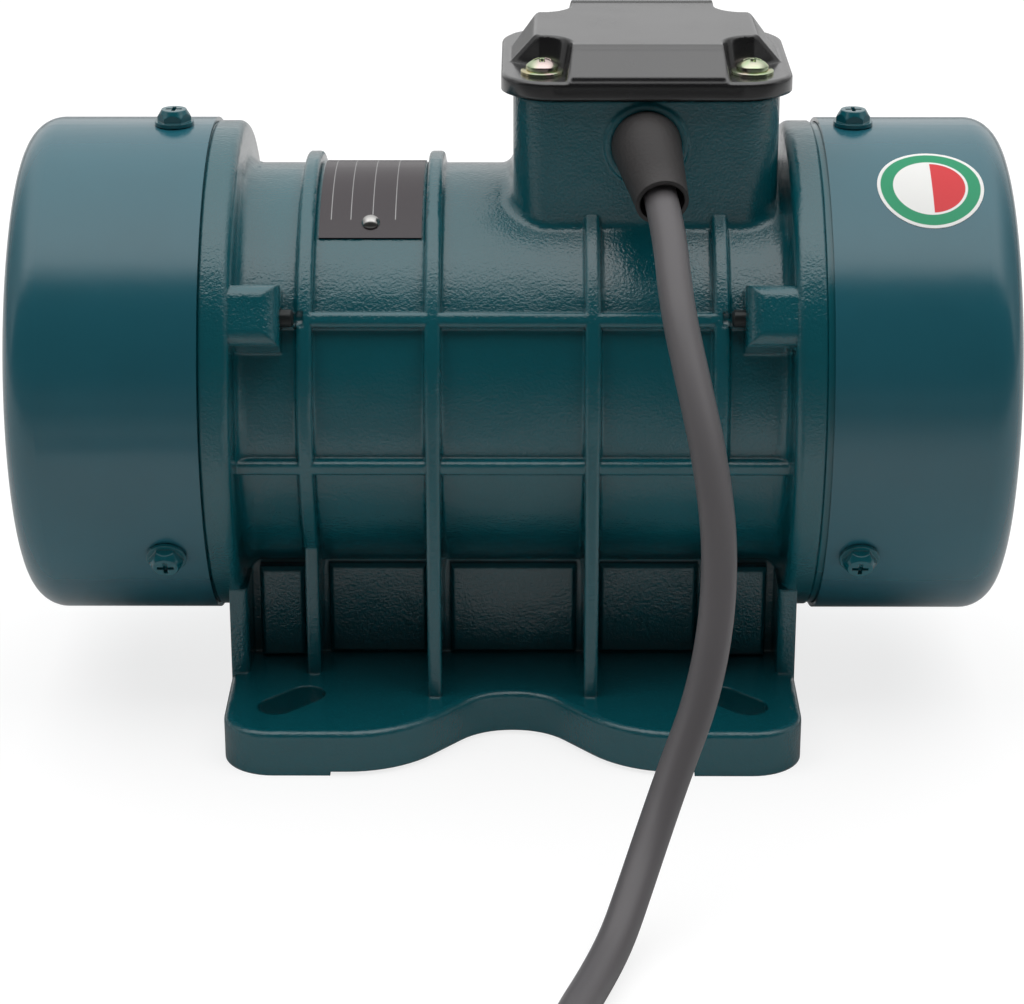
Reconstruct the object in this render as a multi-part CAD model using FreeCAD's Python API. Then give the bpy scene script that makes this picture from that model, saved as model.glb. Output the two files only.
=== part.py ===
"""Single-phase vibration motor: finned cast frame, two cup covers, eccentric weights on a through shaft.

Frame of the part: X along the shaft, -Y towards the cable outlet, +Z up.
The origin is on the mounting face, under the middle of the shaft. All sizes are millimetres.
"""
import math
import os

import FreeCAD
import Part

V = FreeCAD.Vector
ORIGIN = V(0, 0, 0)
X_AXIS = V(1, 0, 0)
Y_AXIS = V(0, 1, 0)
Z_AXIS = V(0, 0, 1)

# --- driving dimensions -------------------------------------------------------------------------
AXIS_Z = 77.0            # shaft centre above the mounting face
HALF_LENGTH = 116.9      # shaft centre plane to the end of a cover

# cast frame
BODY_R = 49.0            # finned barrel
BORE_R = 44.0            # stator seat
FLANGE_R = 59.2
FLANGE_IN = 64.6         # inner and outer faces of a flange
FLANGE_OUT = 71.6
REGISTER_DEPTH = 4.0     # spigot seat of an end shield
RIB_R = 51.8             # tips of all ribs
RIB_W = 3.4
RIB_X = (-48.0, -18.5, 18.5, 48.0)
LONG_RIB_ANGLES = (30.0, -10.0, 150.0, 190.0)   # from -Y, upwards
LUG_ANGLES = (30.0, 150.0, 270.0)
LUG_IN = 53.2            # free end of a lug
LUG_R = 58.2
LUG_W = 15.5
BOLT_R = 52.5            # pitch radius of the shield bolts
BOLT_D = 4.0

# base
PLATE_X = 68.0
PLATE_Y = 72.5
PAD_H = 1.0
PLATE_TOP = 11.0
SCALLOP_Y = 50.0
SCALLOP_SHOULDER = 26.7
SCALLOP_WAIST = 7.5
SLOT_X = 52.5
SLOT_Y = 54.5
SLOT_W = 9.0
SLOT_LEN = 18.5
WALL_Y = 26.0            # pedestal wall, outer face
WALL_T = 4.5
CHEEK_Y = 39.5
GUSSET_Y = 40.0          # foot of the outer gussets
WIDE_GUSSET_Y = 53.3     # foot of the inner gussets

# terminal box and lid
BOX_X = 31.0
BOX_W = 62.0
BOX_D = 51.0
BOX_R = 9.0
BOX_TOP = 149.0
BOX_WALL = 3.5
BOX_FLOOR = 128.5
GASKET_T = 1.0
LID_W = 67.6
LID_D = 56.4
LID_R = 12.0
LID_RIM = 4.0
LID_H = 12.0
LID_SCREW_X = 25.0
LID_SCREW_Y = 19.0
LID_SCREW_D = 4.0
ENTRY_Z = 138.8          # cable entry in the front wall
ENTRY_R = 8.1
LID_SEAT = BOX_TOP + GASKET_T + 2.2    # floor of the screw pockets
TERMINAL_X = 11.0        # near side of the terminal block
TERMINAL_YS = (-13.0, -4.0, 5.0)
WIRE_HOLE = V(34.0, -4.0, 0)

# covers and end shields
COVER_R = 60.0
COVER_T = 1.0
COVER_CORNER = 8.0
LEFT_SEAM = 71.75        # open edge of each cover
RIGHT_SEAM = 73.2
COVER_SCREW_X = 81.0
COVER_SCREW_ANGLES = (90.0, -30.0, 210.0)
SHIELD_R = 58.8
SHIELD_PLATE = 78.0      # outer face of the shield plate
RIM_END = 86.6

# bearing 6303
BEARING_IN = 69.2        # inner face of the bearing
BEARING_W = 14.0
BEARING_OD = 47.0
BEARING_BORE = 17.0
BALL_D = 8.73
BALL_PITCH_R = 16.0
BALL_COUNT = 7
GROOVE_GAP = 0.2         # between a ball and its grooves

# rotor and weights
SHAFT_R = 8.5
SHAFT_END_R = 7.5
SHAFT_END = 111.0
CORE_HALF = 26.0
ROTOR_R = 22.6
STATOR_BORE_R = 23.2
SLOT_COUNT = 24
BAR_COUNT = 18
WEIGHT_R = 46.0
WEIGHT_T = 10.0
INNER_WEIGHT = 87.2
OUTER_WEIGHT = 97.7
KEY_W = 5.0

# cord
CORD_D = 7.8
BOOT_END = V(33.8, -45.5, 130.7)
COIL_CENTRE = V(-42.0, -256.0, 0)
COIL_R = 43.0            # middle of the turns
PLUG_R = 13.0
PLUG_REACH = 40.0        # cord between the coil and the plug
COIL_BAND = 15.7         # two turns wide and two turns high

FIT = 0.02               # radial gap of seats that stay together
RUN = 0.05               # radial gap of parts that turn on each other


# --- helpers ------------------------------------------------------------------------------------
def rounded_wire(corners, place):
    """Closed wire through corners (a, b, radius), each turned by a tangent arc; place(a, b) gives the 3-D point."""
    turns = []
    count = len(corners)
    for i, (a, b, radius) in enumerate(corners):
        corner = V(a, b, 0)
        before = V(corners[i - 1][0], corners[i - 1][1], 0) - corner
        after = V(corners[(i + 1) % count][0], corners[(i + 1) % count][1], 0) - corner
        if radius == 0:
            turns.append((corner, None, corner))
            continue
        half = before.getAngle(after) / 2
        before.normalize()
        after.normalize()
        bisector = before + after
        bisector.normalize()
        reach = radius / math.tan(half)
        middle = corner + bisector * (radius / math.sin(half) - radius)
        turns.append((corner + before * reach, middle, corner + after * reach))
    edges = []
    for i, (start, middle, end) in enumerate(turns):
        if middle is not None:
            edges.append(Part.Arc(place(start.x, start.y), place(middle.x, middle.y),
                                  place(end.x, end.y)).toShape())
        following = turns[(i + 1) % count][0]
        if end.distanceToPoint(following) > 1e-6:
            edges.append(Part.LineSegment(place(end.x, end.y),
                                          place(following.x, following.y)).toShape())
    return Part.Wire(edges)


def turned(corners):
    """Solid of revolution about the shaft axis from corners (x, radius, corner radius)."""
    face = Part.Face(rounded_wire(corners, lambda x, r: V(x, 0, AXIS_Z + r)))
    return face.revolve(V(0, 0, AXIS_Z), X_AXIS, 360)


def plan_prism(corners, z0, z1):
    """Upright prism from plan corners (x, y, corner radius)."""
    face = Part.Face(rounded_wire(corners, lambda x, y: V(x, y, z0)))
    return face.extrude(V(0, 0, z1 - z0))


def cross_prism(corners, x0, x1):
    """Prism along the shaft from corners (y, z, corner radius)."""
    face = Part.Face(rounded_wire(corners, lambda y, z: V(x0, y, z)))
    return face.extrude(V(x1 - x0, 0, 0))


def rectangle(a0, a1, b0, b1, radius=0.0):
    return [(a0, b0, radius), (a1, b0, radius), (a1, b1, radius), (a0, b1, radius)]


def block(x0, x1, y0, y1, z0, z1):
    return Part.makeBox(x1 - x0, y1 - y0, z1 - z0, V(x0, y0, z0))


def rod_x(x0, x1, radius, y=0.0, z=AXIS_Z):
    return Part.makeCylinder(radius, x1 - x0, V(x0, y, z), X_AXIS)


def rod_z(x, y, z0, z1, radius):
    return Part.makeCylinder(radius, z1 - z0, V(x, y, z0), Z_AXIS)


def ring_x(x0, x1, inner, outer):
    return rod_x(x0, x1, outer).cut(rod_x(x0 - 1, x1 + 1, inner))


def about_shaft(shape, angle):
    """Copy of a shape drawn on the -Y side, turned up about the shaft by angle degrees."""
    copy = shape.copy()
    copy.rotate(V(0, 0, AXIS_Z), X_AXIS, -angle)
    return copy


def mirror_x(shape):
    return shape.mirror(ORIGIN, X_AXIS)


def four_corners(shape):
    """A shape drawn at -X, -Y repeated by mirroring across both middle planes."""
    pair = [shape, mirror_x(shape)]
    return pair + [item.mirror(ORIGIN, Y_AXIS) for item in pair]


def fused(shapes):
    return shapes[0].multiFuse(shapes[1:]).removeSplitter()


def group(shapes):
    return Part.makeCompound(shapes)


def export(name, shape):
    shape.exportStep("parts/" + name + ".step")


def export_pair(name, right_shape):
    """A piece drawn at the +X end, and its mirror image at the other end."""
    export(name + "_right", right_shape)
    export(name + "_left", mirror_x(right_shape))


# --- cast frame ---------------------------------------------------------------------------------
def barrel():
    """Barrel, flanges and round ribs in one turned profile, with cast root and edge radii."""
    corners = [(-FLANGE_OUT, 0, 0), (-FLANGE_OUT, FLANGE_R, 0.6), (-FLANGE_IN, FLANGE_R, 2.4),
               (-FLANGE_IN + 0.6, BODY_R, 3.5)]
    for x in RIB_X:
        for side, radius in ((-1, BODY_R), (-1, RIB_R), (1, RIB_R), (1, BODY_R)):
            root = 0.4 if radius == BODY_R else 0.0
            corners.append((x + side * (RIB_W / 2 + root), radius, 0.6 if root else 1.0))
    corners += [(FLANGE_IN - 0.6, BODY_R, 3.5), (FLANGE_IN, FLANGE_R, 2.4), (FLANGE_OUT, FLANGE_R, 0.6),
                (FLANGE_OUT, 0, 0)]
    return turned(corners)


def long_ribs():
    """Straight ribs along the barrel, between the flanges."""
    half = RIB_W / 2
    section = [(-BODY_R + 2, AXIS_Z - half - 0.3, 0), (-RIB_R, AXIS_Z - half, 1.2),
               (-RIB_R, AXIS_Z + half, 1.2), (-BODY_R + 2, AXIS_Z + half + 0.3, 0)]
    rib = cross_prism(section, -FLANGE_IN - 1, FLANGE_IN + 1)
    return [about_shaft(rib, angle) for angle in LONG_RIB_ANGLES]


def lugs():
    """Bosses behind each flange that take the ends of the shield bolts."""
    half = LUG_W / 2
    section = [(-BODY_R + 3, AXIS_Z - half, 0), (-LUG_R, AXIS_Z - half + 0.8, 3.5),
               (-LUG_R, AXIS_Z + half - 0.8, 3.5), (-BODY_R + 3, AXIS_Z + half, 0)]
    lug = cross_prism(section, LUG_IN, FLANGE_IN + 1)
    crown = block(LUG_IN - 1, FLANGE_IN + 2, -LUG_R - 9, -BODY_R + 3.5, AXIS_Z - half - 1, AXIS_Z + half + 1)
    nose = [(LUG_IN, -BODY_R + 3, 0), (LUG_IN, -LUG_R, 4.5), (FLANGE_IN + 1.5, -LUG_R, 0),
            (FLANGE_IN + 1.5, -BODY_R + 3, 0)]
    side_view = plan_prism(nose, AXIS_Z - half - 1, AXIS_Z + half + 1)
    lug = lug.common(crown.common(side_view))
    both = [lug, mirror_x(lug)]
    return [about_shaft(item, angle) for item in both for angle in LUG_ANGLES]


def plate_outline():
    """Scalloped plan of the base plate: four lobes joined by a waist on each long side."""
    front = [(-PLATE_X, -PLATE_Y, 12.0), (-SCALLOP_SHOULDER, -PLATE_Y, 26.0),
             (-SCALLOP_WAIST, -SCALLOP_Y, 15.5), (SCALLOP_WAIST, -SCALLOP_Y, 15.5),
             (SCALLOP_SHOULDER, -PLATE_Y, 26.0), (PLATE_X, -PLATE_Y, 12.0)]
    return front + [(-x, -y, radius) for x, y, radius in front]


def base_plate():
    """Scalloped plate with a rounded upper edge, four foot pads and four radial slots."""
    plate = plan_prism(plate_outline(), PAD_H, PLATE_TOP)
    upper = [edge for edge in plate.Edges if abs(edge.BoundBox.ZMin - PLATE_TOP) < 1e-6]
    plate = plate.makeFillet(1.6, upper)
    pad_zone = plan_prism(rectangle(-PLATE_X - 5, -42.5, -PLATE_Y - 5, -36.0), 0, PAD_H)
    pads = four_corners(plan_prism(plate_outline(), 0, PAD_H).common(pad_zone))
    slot = plan_prism(rectangle(-SLOT_LEN / 2, SLOT_LEN / 2, -SLOT_W / 2, SLOT_W / 2, SLOT_W / 2 - 1e-3),
                      -1, PLATE_TOP + 1)
    slot.rotate(ORIGIN, Z_AXIS, 45)
    slot.translate(V(-SLOT_X, -SLOT_Y, 0))
    return plate.fuse(pads), four_corners(slot)


def pedestal():
    """Block under the barrel, the end cheeks and the gussets below the round ribs."""
    pieces = [block(-FLANGE_IN, FLANGE_IN, -WALL_Y, WALL_Y, PAD_H + 2, AXIS_Z - 38.0)]
    cheek = cross_prism(rectangle(-CHEEK_Y, CHEEK_Y, PAD_H + 2, AXIS_Z - 44.0), FLANGE_IN - 1.0, PLATE_X)
    upright = [edge for edge in cheek.Edges
               if abs(edge.BoundBox.ZLength - cheek.BoundBox.ZLength) < 1e-6 and edge.BoundBox.XMax < PLATE_X - 1]
    cheek = cheek.makeFillet(1.5, upright)
    pieces += [cheek, mirror_x(cheek)]
    half = RIB_W / 2
    rim_z = AXIS_Z - math.sqrt(RIB_R ** 2 - GUSSET_Y ** 2)
    for x in RIB_X:
        inner = abs(x) < PLATE_X / 2
        foot = WIDE_GUSSET_Y if inner else GUSSET_Y
        brow = (RIB_R - 0.1, AXIS_Z) if inner else (GUSSET_Y - 0.2, rim_z + 3.0)
        section = [(-foot, PAD_H + 2, 0), (-brow[0], brow[1], 0), (brow[0], brow[1], 0), (foot, PAD_H + 2, 0)]
        gusset = cross_prism(section, x - half, x + half)
        front = [edge for edge in gusset.Edges
                 if edge.BoundBox.ZLength > 10 and edge.BoundBox.XLength < 1e-6]
        pieces.append(gusset.makeFillet(1.0, front))
    return pieces


def wall_panels():
    """Raised panels cast on the pedestal walls between the gussets."""
    low = PLATE_TOP + 0.3
    rows = [(-61.4, RIB_X[0] - RIB_W / 2 - 0.9, 4.0), (RIB_X[0] + 3.2, RIB_X[1] - 2.4, 1.7),
            (RIB_X[1] + 3.2, RIB_X[2] - 3.2, 1.7)]
    panels = []
    for x0, x1, rise in rows:
        top = AXIS_Z - 42.3
        panel = block(x0, x1, -WALL_Y - rise, -WALL_Y + 0.5, low, top)
        face_edges = [edge for edge in panel.Edges if abs(edge.BoundBox.YMax + WALL_Y + rise) < 1e-6]
        panel = panel.makeChamfer(0.9, face_edges)
        panels.append(panel)
    panels += [mirror_x(panel) for panel in panels[:2]]
    return panels + [panel.mirror(ORIGIN, Y_AXIS) for panel in panels]


def core_pockets():
    """Cored pockets in the underside: a web under each rib and one along the middle keep them small."""
    web = 2.2
    inner_wall = WALL_Y - WALL_T
    stations = (-FLANGE_IN + 4.5,) + RIB_X + (FLANGE_IN - 4.5,)
    pockets = []
    for x0, x1 in zip(stations[:-1], stations[1:]):
        start = x0 + (web if x0 in RIB_X else 0)
        end = x1 - (web if x1 in RIB_X else 0)
        for side in (-1, 1):
            y0, y1 = sorted((side * web, side * inner_wall))
            pockets.append(plan_prism(rectangle(start, end, y0, y1, 3.0), -1, AXIS_Z - BODY_R - 2.0))
    return pockets


def lid_screw_points():
    return [(BOX_X + sx * LID_SCREW_X, sy * LID_SCREW_Y) for sx in (-1, 1) for sy in (-1, 1)]


def box_outline(inset, radius):
    half_w = BOX_W / 2 - inset
    half_d = BOX_D / 2 - inset
    return rectangle(BOX_X - half_w, BOX_X + half_w, -half_d, half_d, radius)


def terminal_box():
    """Outside of the terminal box, flared where it grows out of the barrel, with the entry boss."""
    body = plan_prism(box_outline(0, BOX_R), AXIS_Z + 20, BOX_TOP)
    barrel_stub = rod_x(-20, FLANGE_IN - 2.5, BODY_R)
    joined = barrel_stub.fuse(body)
    seam = [edge for edge in joined.Edges
            if AXIS_Z + 30 < edge.BoundBox.ZMin and edge.BoundBox.ZMax < AXIS_Z + BODY_R + 0.2
            and edge.BoundBox.XMin > BOX_X - BOX_W / 2 - 0.5 and edge.BoundBox.XMax < BOX_X + BOX_W / 2 + 0.1]
    joined = joined.makeFillet(3.0, seam)
    boss = Part.makeCone(10.1, 9.4, 0.8, V(BOX_X - 0.2, -BOX_D / 2 + 0.01, ENTRY_Z), V(0, -1, 0))
    return [joined, boss]


def box_cavity():
    """Hollow of the box around four corner posts, with the cable entry, the wire hole and the screw holes."""
    hollow = plan_prism(box_outline(BOX_WALL, BOX_R - BOX_WALL), BOX_FLOOR, BOX_TOP + 1)
    posts = [rod_z(x, y, BOX_FLOOR - 1, BOX_TOP + 2, 4.6) for x, y in lid_screw_points()]
    corners = []
    for x, y in lid_screw_points():
        out_x = math.copysign(1, x - BOX_X)
        out_y = math.copysign(1, y)
        x0, x1 = sorted((x, x + out_x * 8))
        y0, y1 = sorted((y, y + out_y * 8))
        corners.append(block(x0, x1, y0, y1, BOX_FLOOR - 1, BOX_TOP + 2))
    hollow = hollow.cut(posts + corners)
    entry = Part.makeCylinder(ENTRY_R, BOX_WALL + 3, V(BOX_X - 0.2, -BOX_D / 2 - 2, ENTRY_Z), Y_AXIS)
    wire_hole = rod_z(WIRE_HOLE.x, WIRE_HOLE.y, AXIS_Z + BORE_R - 3, BOX_FLOOR + 1, 4.5)
    screw_holes = [rod_z(x, y, BOX_TOP - 12, BOX_TOP + 1, LID_SCREW_D / 2 + FIT) for x, y in lid_screw_points()]
    return [hollow, entry, wire_hole] + screw_holes


def frame_housing():
    """The whole casting: everything above joined, then bored, drilled and cored."""
    plate, slots = base_plate()
    solid = fused([barrel(), plate] + long_ribs() + lugs() + pedestal() + wall_panels() + terminal_box())
    bores = [rod_x(-FLANGE_OUT - 1, FLANGE_OUT + 1, BORE_R)]
    bolt_hole = rod_x(LUG_IN - 5, FLANGE_OUT + 1, BOLT_D / 2 + FIT, y=-BOLT_R)
    for angle in LUG_ANGLES:
        bores.append(about_shaft(bolt_hole, angle))
        bores.append(about_shaft(mirror_x(bolt_hole), angle))
    rib_notch = rod_x(RIB_X[-1] + RIB_W / 2 + 0.2, LUG_IN + 0.1, BOLT_D / 2 + 0.6, y=-BOLT_R)
    for angle in LUG_ANGLES:
        bores.append(about_shaft(rib_notch, angle))
        bores.append(about_shaft(mirror_x(rib_notch), angle))
    return solid.cut(bores + slots + core_pockets() + box_cavity())


# --- covers and end shields ---------------------------------------------------------------------
def end_cover(seam):
    """Pressed steel cup with three radial screw holes, at the +X end."""
    cup = turned([(seam, COVER_R - COVER_T, 0), (seam, COVER_R, 0), (HALF_LENGTH, COVER_R, COVER_CORNER),
                  (HALF_LENGTH, 0, 0), (HALF_LENGTH - COVER_T, 0, 0),
                  (HALF_LENGTH - COVER_T, COVER_R - COVER_T, COVER_CORNER - COVER_T)])
    hole = Part.makeCylinder(2.3, 6, V(COVER_SCREW_X, -COVER_R - 2, AXIS_Z), Y_AXIS)
    return cup.cut([about_shaft(hole, angle) for angle in COVER_SCREW_ANGLES])


def cover_screws():
    """Three hex flange screws with a cross recess, set radially in the +X cover."""
    def disc(radius, low, high):
        return Part.makeCylinder(radius, high - low, V(COVER_SCREW_X, -COVER_R - high, AXIS_Z), Y_AXIS)

    across_flats = 7.0
    corner = across_flats / 2 / math.cos(math.radians(30))
    points = []
    for step in range(7):
        turn = math.radians(60 * step)
        points.append(V(COVER_SCREW_X + corner * math.cos(turn), -COVER_R - 0.9, AXIS_Z + corner * math.sin(turn)))
    hexagon = Part.Face(Part.makePolygon(points)).extrude(V(0, -2.9, 0))
    crown = Part.makeCone(2.9, 5.6, 4.6, V(COVER_SCREW_X, -COVER_R - 3.9, AXIS_Z), Y_AXIS)
    flange = disc(4.7, 0.05, 1.0)
    shank = Part.makeCylinder(BOLT_D / 2, 8.0, V(COVER_SCREW_X, -COVER_R - 0.5, AXIS_Z), Y_AXIS)
    recess = [block(COVER_SCREW_X - a, COVER_SCREW_X + a, -COVER_R - 4, -COVER_R - 2.6, AXIS_Z - b, AXIS_Z + b)
              for a, b in ((1.9, 0.45), (0.45, 1.9))]
    screw = flange.fuse([hexagon.common(crown), shank]).removeSplitter().cut(recess)
    return group([about_shaft(screw, angle) for angle in COVER_SCREW_ANGLES])


def end_shield():
    """Bearing bracket at the +X end: spigot, ribbed plate, hub with bearing seat, and rim under the cover."""
    hub_r = 30.0
    hub_end = 86.0
    seat_r = BEARING_OD / 2 + FIT
    solid = turned([(66.4, 19.0, 0.6), (66.4, hub_r, 2.0), (FLANGE_OUT, hub_r + 1, 2.0), (FLANGE_OUT, 39.0, 1.5),
                    (FLANGE_OUT - REGISTER_DEPTH, 39.5, 0.8), (FLANGE_OUT - REGISTER_DEPTH, BORE_R - FIT, 0.5),
                    (FLANGE_OUT, BORE_R - FIT, 0), (FLANGE_OUT, SHIELD_R, 0.4), (RIM_END, SHIELD_R, 0.5),
                    (RIM_END, SHIELD_R - 2.6, 0.5), (SHIELD_PLATE, SHIELD_R - 3.0, 2.0),
                    (SHIELD_PLATE, hub_r + 1, 2.0), (hub_end, hub_r - 1, 1.0), (hub_end, seat_r, 0.5),
                    (BEARING_IN - 0.2, seat_r, 0), (BEARING_IN - 0.2, 19.0, 0)])
    rib = block(SHIELD_PLATE - 1, SHIELD_PLATE + 5, -SHIELD_R + 1.5, -hub_r + 2, AXIS_Z - 1.7, AXIS_Z + 1.7)
    ribs = [about_shaft(rib, angle) for angle in (0, 60, 120, 180, 240, 300)]
    thread_boss = block(SHIELD_PLATE - 1, RIM_END - 0.5, -SHIELD_R + 0.6, -SHIELD_R + 8, AXIS_Z - 5, AXIS_Z + 5)
    bosses = [about_shaft(thread_boss, angle) for angle in COVER_SCREW_ANGLES]
    solid = fused([solid] + ribs + bosses)
    screw_hole = Part.makeCylinder(BOLT_D / 2 + FIT, 12, V(COVER_SCREW_X, -COVER_R - 1, AXIS_Z), Y_AXIS)
    bolt_hole = rod_x(FLANGE_OUT - 2, SHIELD_PLATE + 1, BOLT_D / 2 + FIT, y=-BOLT_R)
    spot_face = rod_x(SHIELD_PLATE, RIM_END, 3.5, y=-BOLT_R)
    circlip_groove = ring_x(BEARING_IN + BEARING_W + 0.1, BEARING_IN + BEARING_W + 1.4, seat_r - 1, seat_r + 1.2)
    cuts = [about_shaft(screw_hole, angle) for angle in COVER_SCREW_ANGLES]
    cuts += [about_shaft(bolt_hole.fuse(spot_face), angle) for angle in LUG_ANGLES]
    return solid.cut(cuts + [circlip_groove])


def shield_bolts():
    """Three socket-head bolts that pull the +X shield to the frame; their tips stand out of the lugs."""
    tip = LUG_IN - 2.9
    shank = rod_x(tip + 0.5, SHIELD_PLATE + 0.5, BOLT_D / 2, y=-BOLT_R)
    point = Part.makeCone(BOLT_D / 2 - 0.5, BOLT_D / 2, 0.5, V(tip, -BOLT_R, AXIS_Z), X_AXIS)
    head = rod_x(SHIELD_PLATE, SHIELD_PLATE + 3.6, 3.2, y=-BOLT_R)
    socket = rod_x(SHIELD_PLATE + 1.6, SHIELD_PLATE + 4, 1.6, y=-BOLT_R)
    bolt = shank.fuse([point, head]).removeSplitter().cut(socket)
    return group([about_shaft(bolt, angle) for angle in LUG_ANGLES])


# --- bearing ------------------------------------------------------------------------------------
def ball_groove():
    middle = BEARING_IN + BEARING_W / 2
    return Part.makeTorus(BALL_PITCH_R, BALL_D / 2 + GROOVE_GAP, V(middle, 0, AXIS_Z), X_AXIS)


def bearing_outer_ring():
    ring = ring_x(BEARING_IN, BEARING_IN + BEARING_W, 19.2, BEARING_OD / 2)
    return ring.cut(ball_groove())


def bearing_inner_ring():
    ring = ring_x(BEARING_IN, BEARING_IN + BEARING_W, BEARING_BORE / 2 + FIT, 12.8)
    return ring.cut(ball_groove())


def ball_centres():
    middle = BEARING_IN + BEARING_W / 2
    for step in range(BALL_COUNT):
        turn = 2 * math.pi * step / BALL_COUNT
        yield V(middle, BALL_PITCH_R * math.cos(turn), AXIS_Z + BALL_PITCH_R * math.sin(turn))


def bearing_balls():
    return group([Part.makeSphere(BALL_D / 2, centre) for centre in ball_centres()])


def bearing_cage():
    middle = BEARING_IN + BEARING_W / 2
    band = ring_x(middle - 5.6, middle + 5.6, 14.9, 17.2)
    return band.cut([Part.makeSphere(BALL_D / 2 + 0.12, centre) for centre in ball_centres()])


def retaining_ring():
    """Open snap ring that holds the bearing in the hub."""
    start = BEARING_IN + BEARING_W + 0.15
    ring = ring_x(start, start + 1.2, 20.6, BEARING_OD / 2 + 1.0)
    return ring.cut(block(start - 1, start + 3, -3.5, 3.5, AXIS_Z + 15, AXIS_Z + 30))


# --- stator and rotor ---------------------------------------------------------------------------
def stator_slot(inner, outer, inner_w, outer_w, half_length):
    """One tapered slot or conductor bundle on the -Y side of the bore."""
    section = [(-inner, AXIS_Z - inner_w / 2, 0), (-outer, AXIS_Z - outer_w / 2, 0),
               (-outer, AXIS_Z + outer_w / 2, 0), (-inner, AXIS_Z + inner_w / 2, 0)]
    return cross_prism(section, -half_length, half_length)


def around(shape, count):
    return [about_shaft(shape, 360.0 * step / count) for step in range(count)]


def stator_core():
    core = ring_x(-CORE_HALF, CORE_HALF, STATOR_BORE_R, BORE_R - FIT)
    mouth = stator_slot(STATOR_BORE_R - 1, 26.0, 1.8, 1.8, CORE_HALF + 1)
    slot = stator_slot(25.0, 36.0, 3.4, 5.4, CORE_HALF + 1)
    return core.cut(around(slot.fuse(mouth), SLOT_COUNT))


def stator_windings():
    """Slot conductors joined by the two bundles of end turns."""
    bars = around(stator_slot(25.6, 35.4, 2.8, 4.6, CORE_HALF + 2), SLOT_COUNT)
    bundle = turned([(CORE_HALF + 0.8, 25.4, 2.5), (CORE_HALF + 0.8, 37.5, 2.5), (CORE_HALF + 17, 39.0, 5.0),
                     (CORE_HALF + 17, 27.0, 5.0)])
    return fused([bundle, mirror_x(bundle)] + bars)


def rotor_bar(half_length, grow):
    return block(-half_length, half_length, -20.9 - grow, -16.2 + grow, AXIS_Z - 1.5 - grow, AXIS_Z + 1.5 + grow)


def rotor_core():
    core = ring_x(-CORE_HALF, CORE_HALF, 10.5 + FIT, ROTOR_R)
    return core.cut(around(rotor_bar(CORE_HALF + 1, FIT), BAR_COUNT))


def rotor_cage():
    """Cast aluminium bars and end rings of the squirrel cage."""
    end_ring = turned([(CORE_HALF + FIT, 13.5, 0), (CORE_HALF + FIT, 22.0, 0), (CORE_HALF + 7, 21.5, 1.0),
                       (CORE_HALF + 7, 14.0, 1.0)])
    return fused([end_ring, mirror_x(end_ring)] + around(rotor_bar(CORE_HALF + 1, 0), BAR_COUNT))


def shaft():
    """Stepped shaft with a keyway and a snap ring groove at each end."""
    half = [(0, 10.5), (CORE_HALF + 10, 10.5), (CORE_HALF + 10, 10.0), (BEARING_IN, 10.0), (BEARING_IN, SHAFT_R),
            (BEARING_IN + BEARING_W, SHAFT_R), (BEARING_IN + BEARING_W, SHAFT_END_R),
            (SHAFT_END - 1, SHAFT_END_R), (SHAFT_END, SHAFT_END_R - 1)]
    corners = [(x, radius, 0) for x, radius in half[1:]] + [(SHAFT_END, 0, 0), (-SHAFT_END, 0, 0)]
    corners += [(-x, radius, 0) for x, radius in reversed(half[1:])]
    solid = turned(corners)
    keyway = block(INNER_WEIGHT, INNER_WEIGHT + WEIGHT_T, -KEY_W / 2, KEY_W / 2,
                   AXIS_Z + SHAFT_END_R - 2.9, AXIS_Z + SHAFT_END_R + 1)
    groove = ring_x(108.0, 109.3, SHAFT_END_R - 0.8, SHAFT_END_R + 1)
    return solid.cut([keyway, mirror_x(keyway), groove, mirror_x(groove)])


def shaft_spacer():
    return ring_x(BEARING_IN + BEARING_W, INNER_WEIGHT, SHAFT_END_R + FIT, 11.0)


def shaft_snap_ring():
    """Open snap ring at the end of the shaft."""
    ring = ring_x(108.05, 109.2, SHAFT_END_R - 0.75, 10.4)
    return ring.cut(block(107, 110, -2.5, 2.5, AXIS_Z - 12, AXIS_Z - 4))


def weight_key():
    top = AXIS_Z + SHAFT_END_R + 2.1
    return block(INNER_WEIGHT + 0.5, INNER_WEIGHT + WEIGHT_T - 0.5, -KEY_W / 2 + FIT, KEY_W / 2 - FIT,
                 top - 5.0 + FIT, top)


def weight_outline(hub):
    """Half disc below the shaft with a hub above it, as corners (y, z, radius)."""
    return [(-WEIGHT_R, AXIS_Z + 2.0, 3.0), (-hub - 2.0, AXIS_Z + 2.0, 4.0), (-hub, AXIS_Z + 24.0, 4.0),
            (hub, AXIS_Z + 24.0, 4.0), (hub + 2.0, AXIS_Z + 2.0, 4.0), (WEIGHT_R, AXIS_Z + 2.0, 3.0),
            (WEIGHT_R, AXIS_Z - WEIGHT_R, 0), (-WEIGHT_R, AXIS_Z - WEIGHT_R, 0)]


def weight_blank(start, hub):
    """Eccentric weight without its bore: the outline trimmed to the outer circle."""
    return cross_prism(weight_outline(hub), start, start + WEIGHT_T).common(
        rod_x(start - 1, start + WEIGHT_T + 1, WEIGHT_R))


def inner_weight():
    """Fixed weight, keyed to the shaft."""
    bore = rod_x(INNER_WEIGHT - 1, INNER_WEIGHT + WEIGHT_T + 1, SHAFT_END_R + FIT)
    keyway = block(INNER_WEIGHT - 1, INNER_WEIGHT + WEIGHT_T + 1, -KEY_W / 2, KEY_W / 2,
                   AXIS_Z, AXIS_Z + SHAFT_END_R + 2.2)
    return weight_blank(INNER_WEIGHT, 12.0).cut([bore, keyway])


def clamp_z():
    return AXIS_Z + SHAFT_END_R + 8.0


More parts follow.
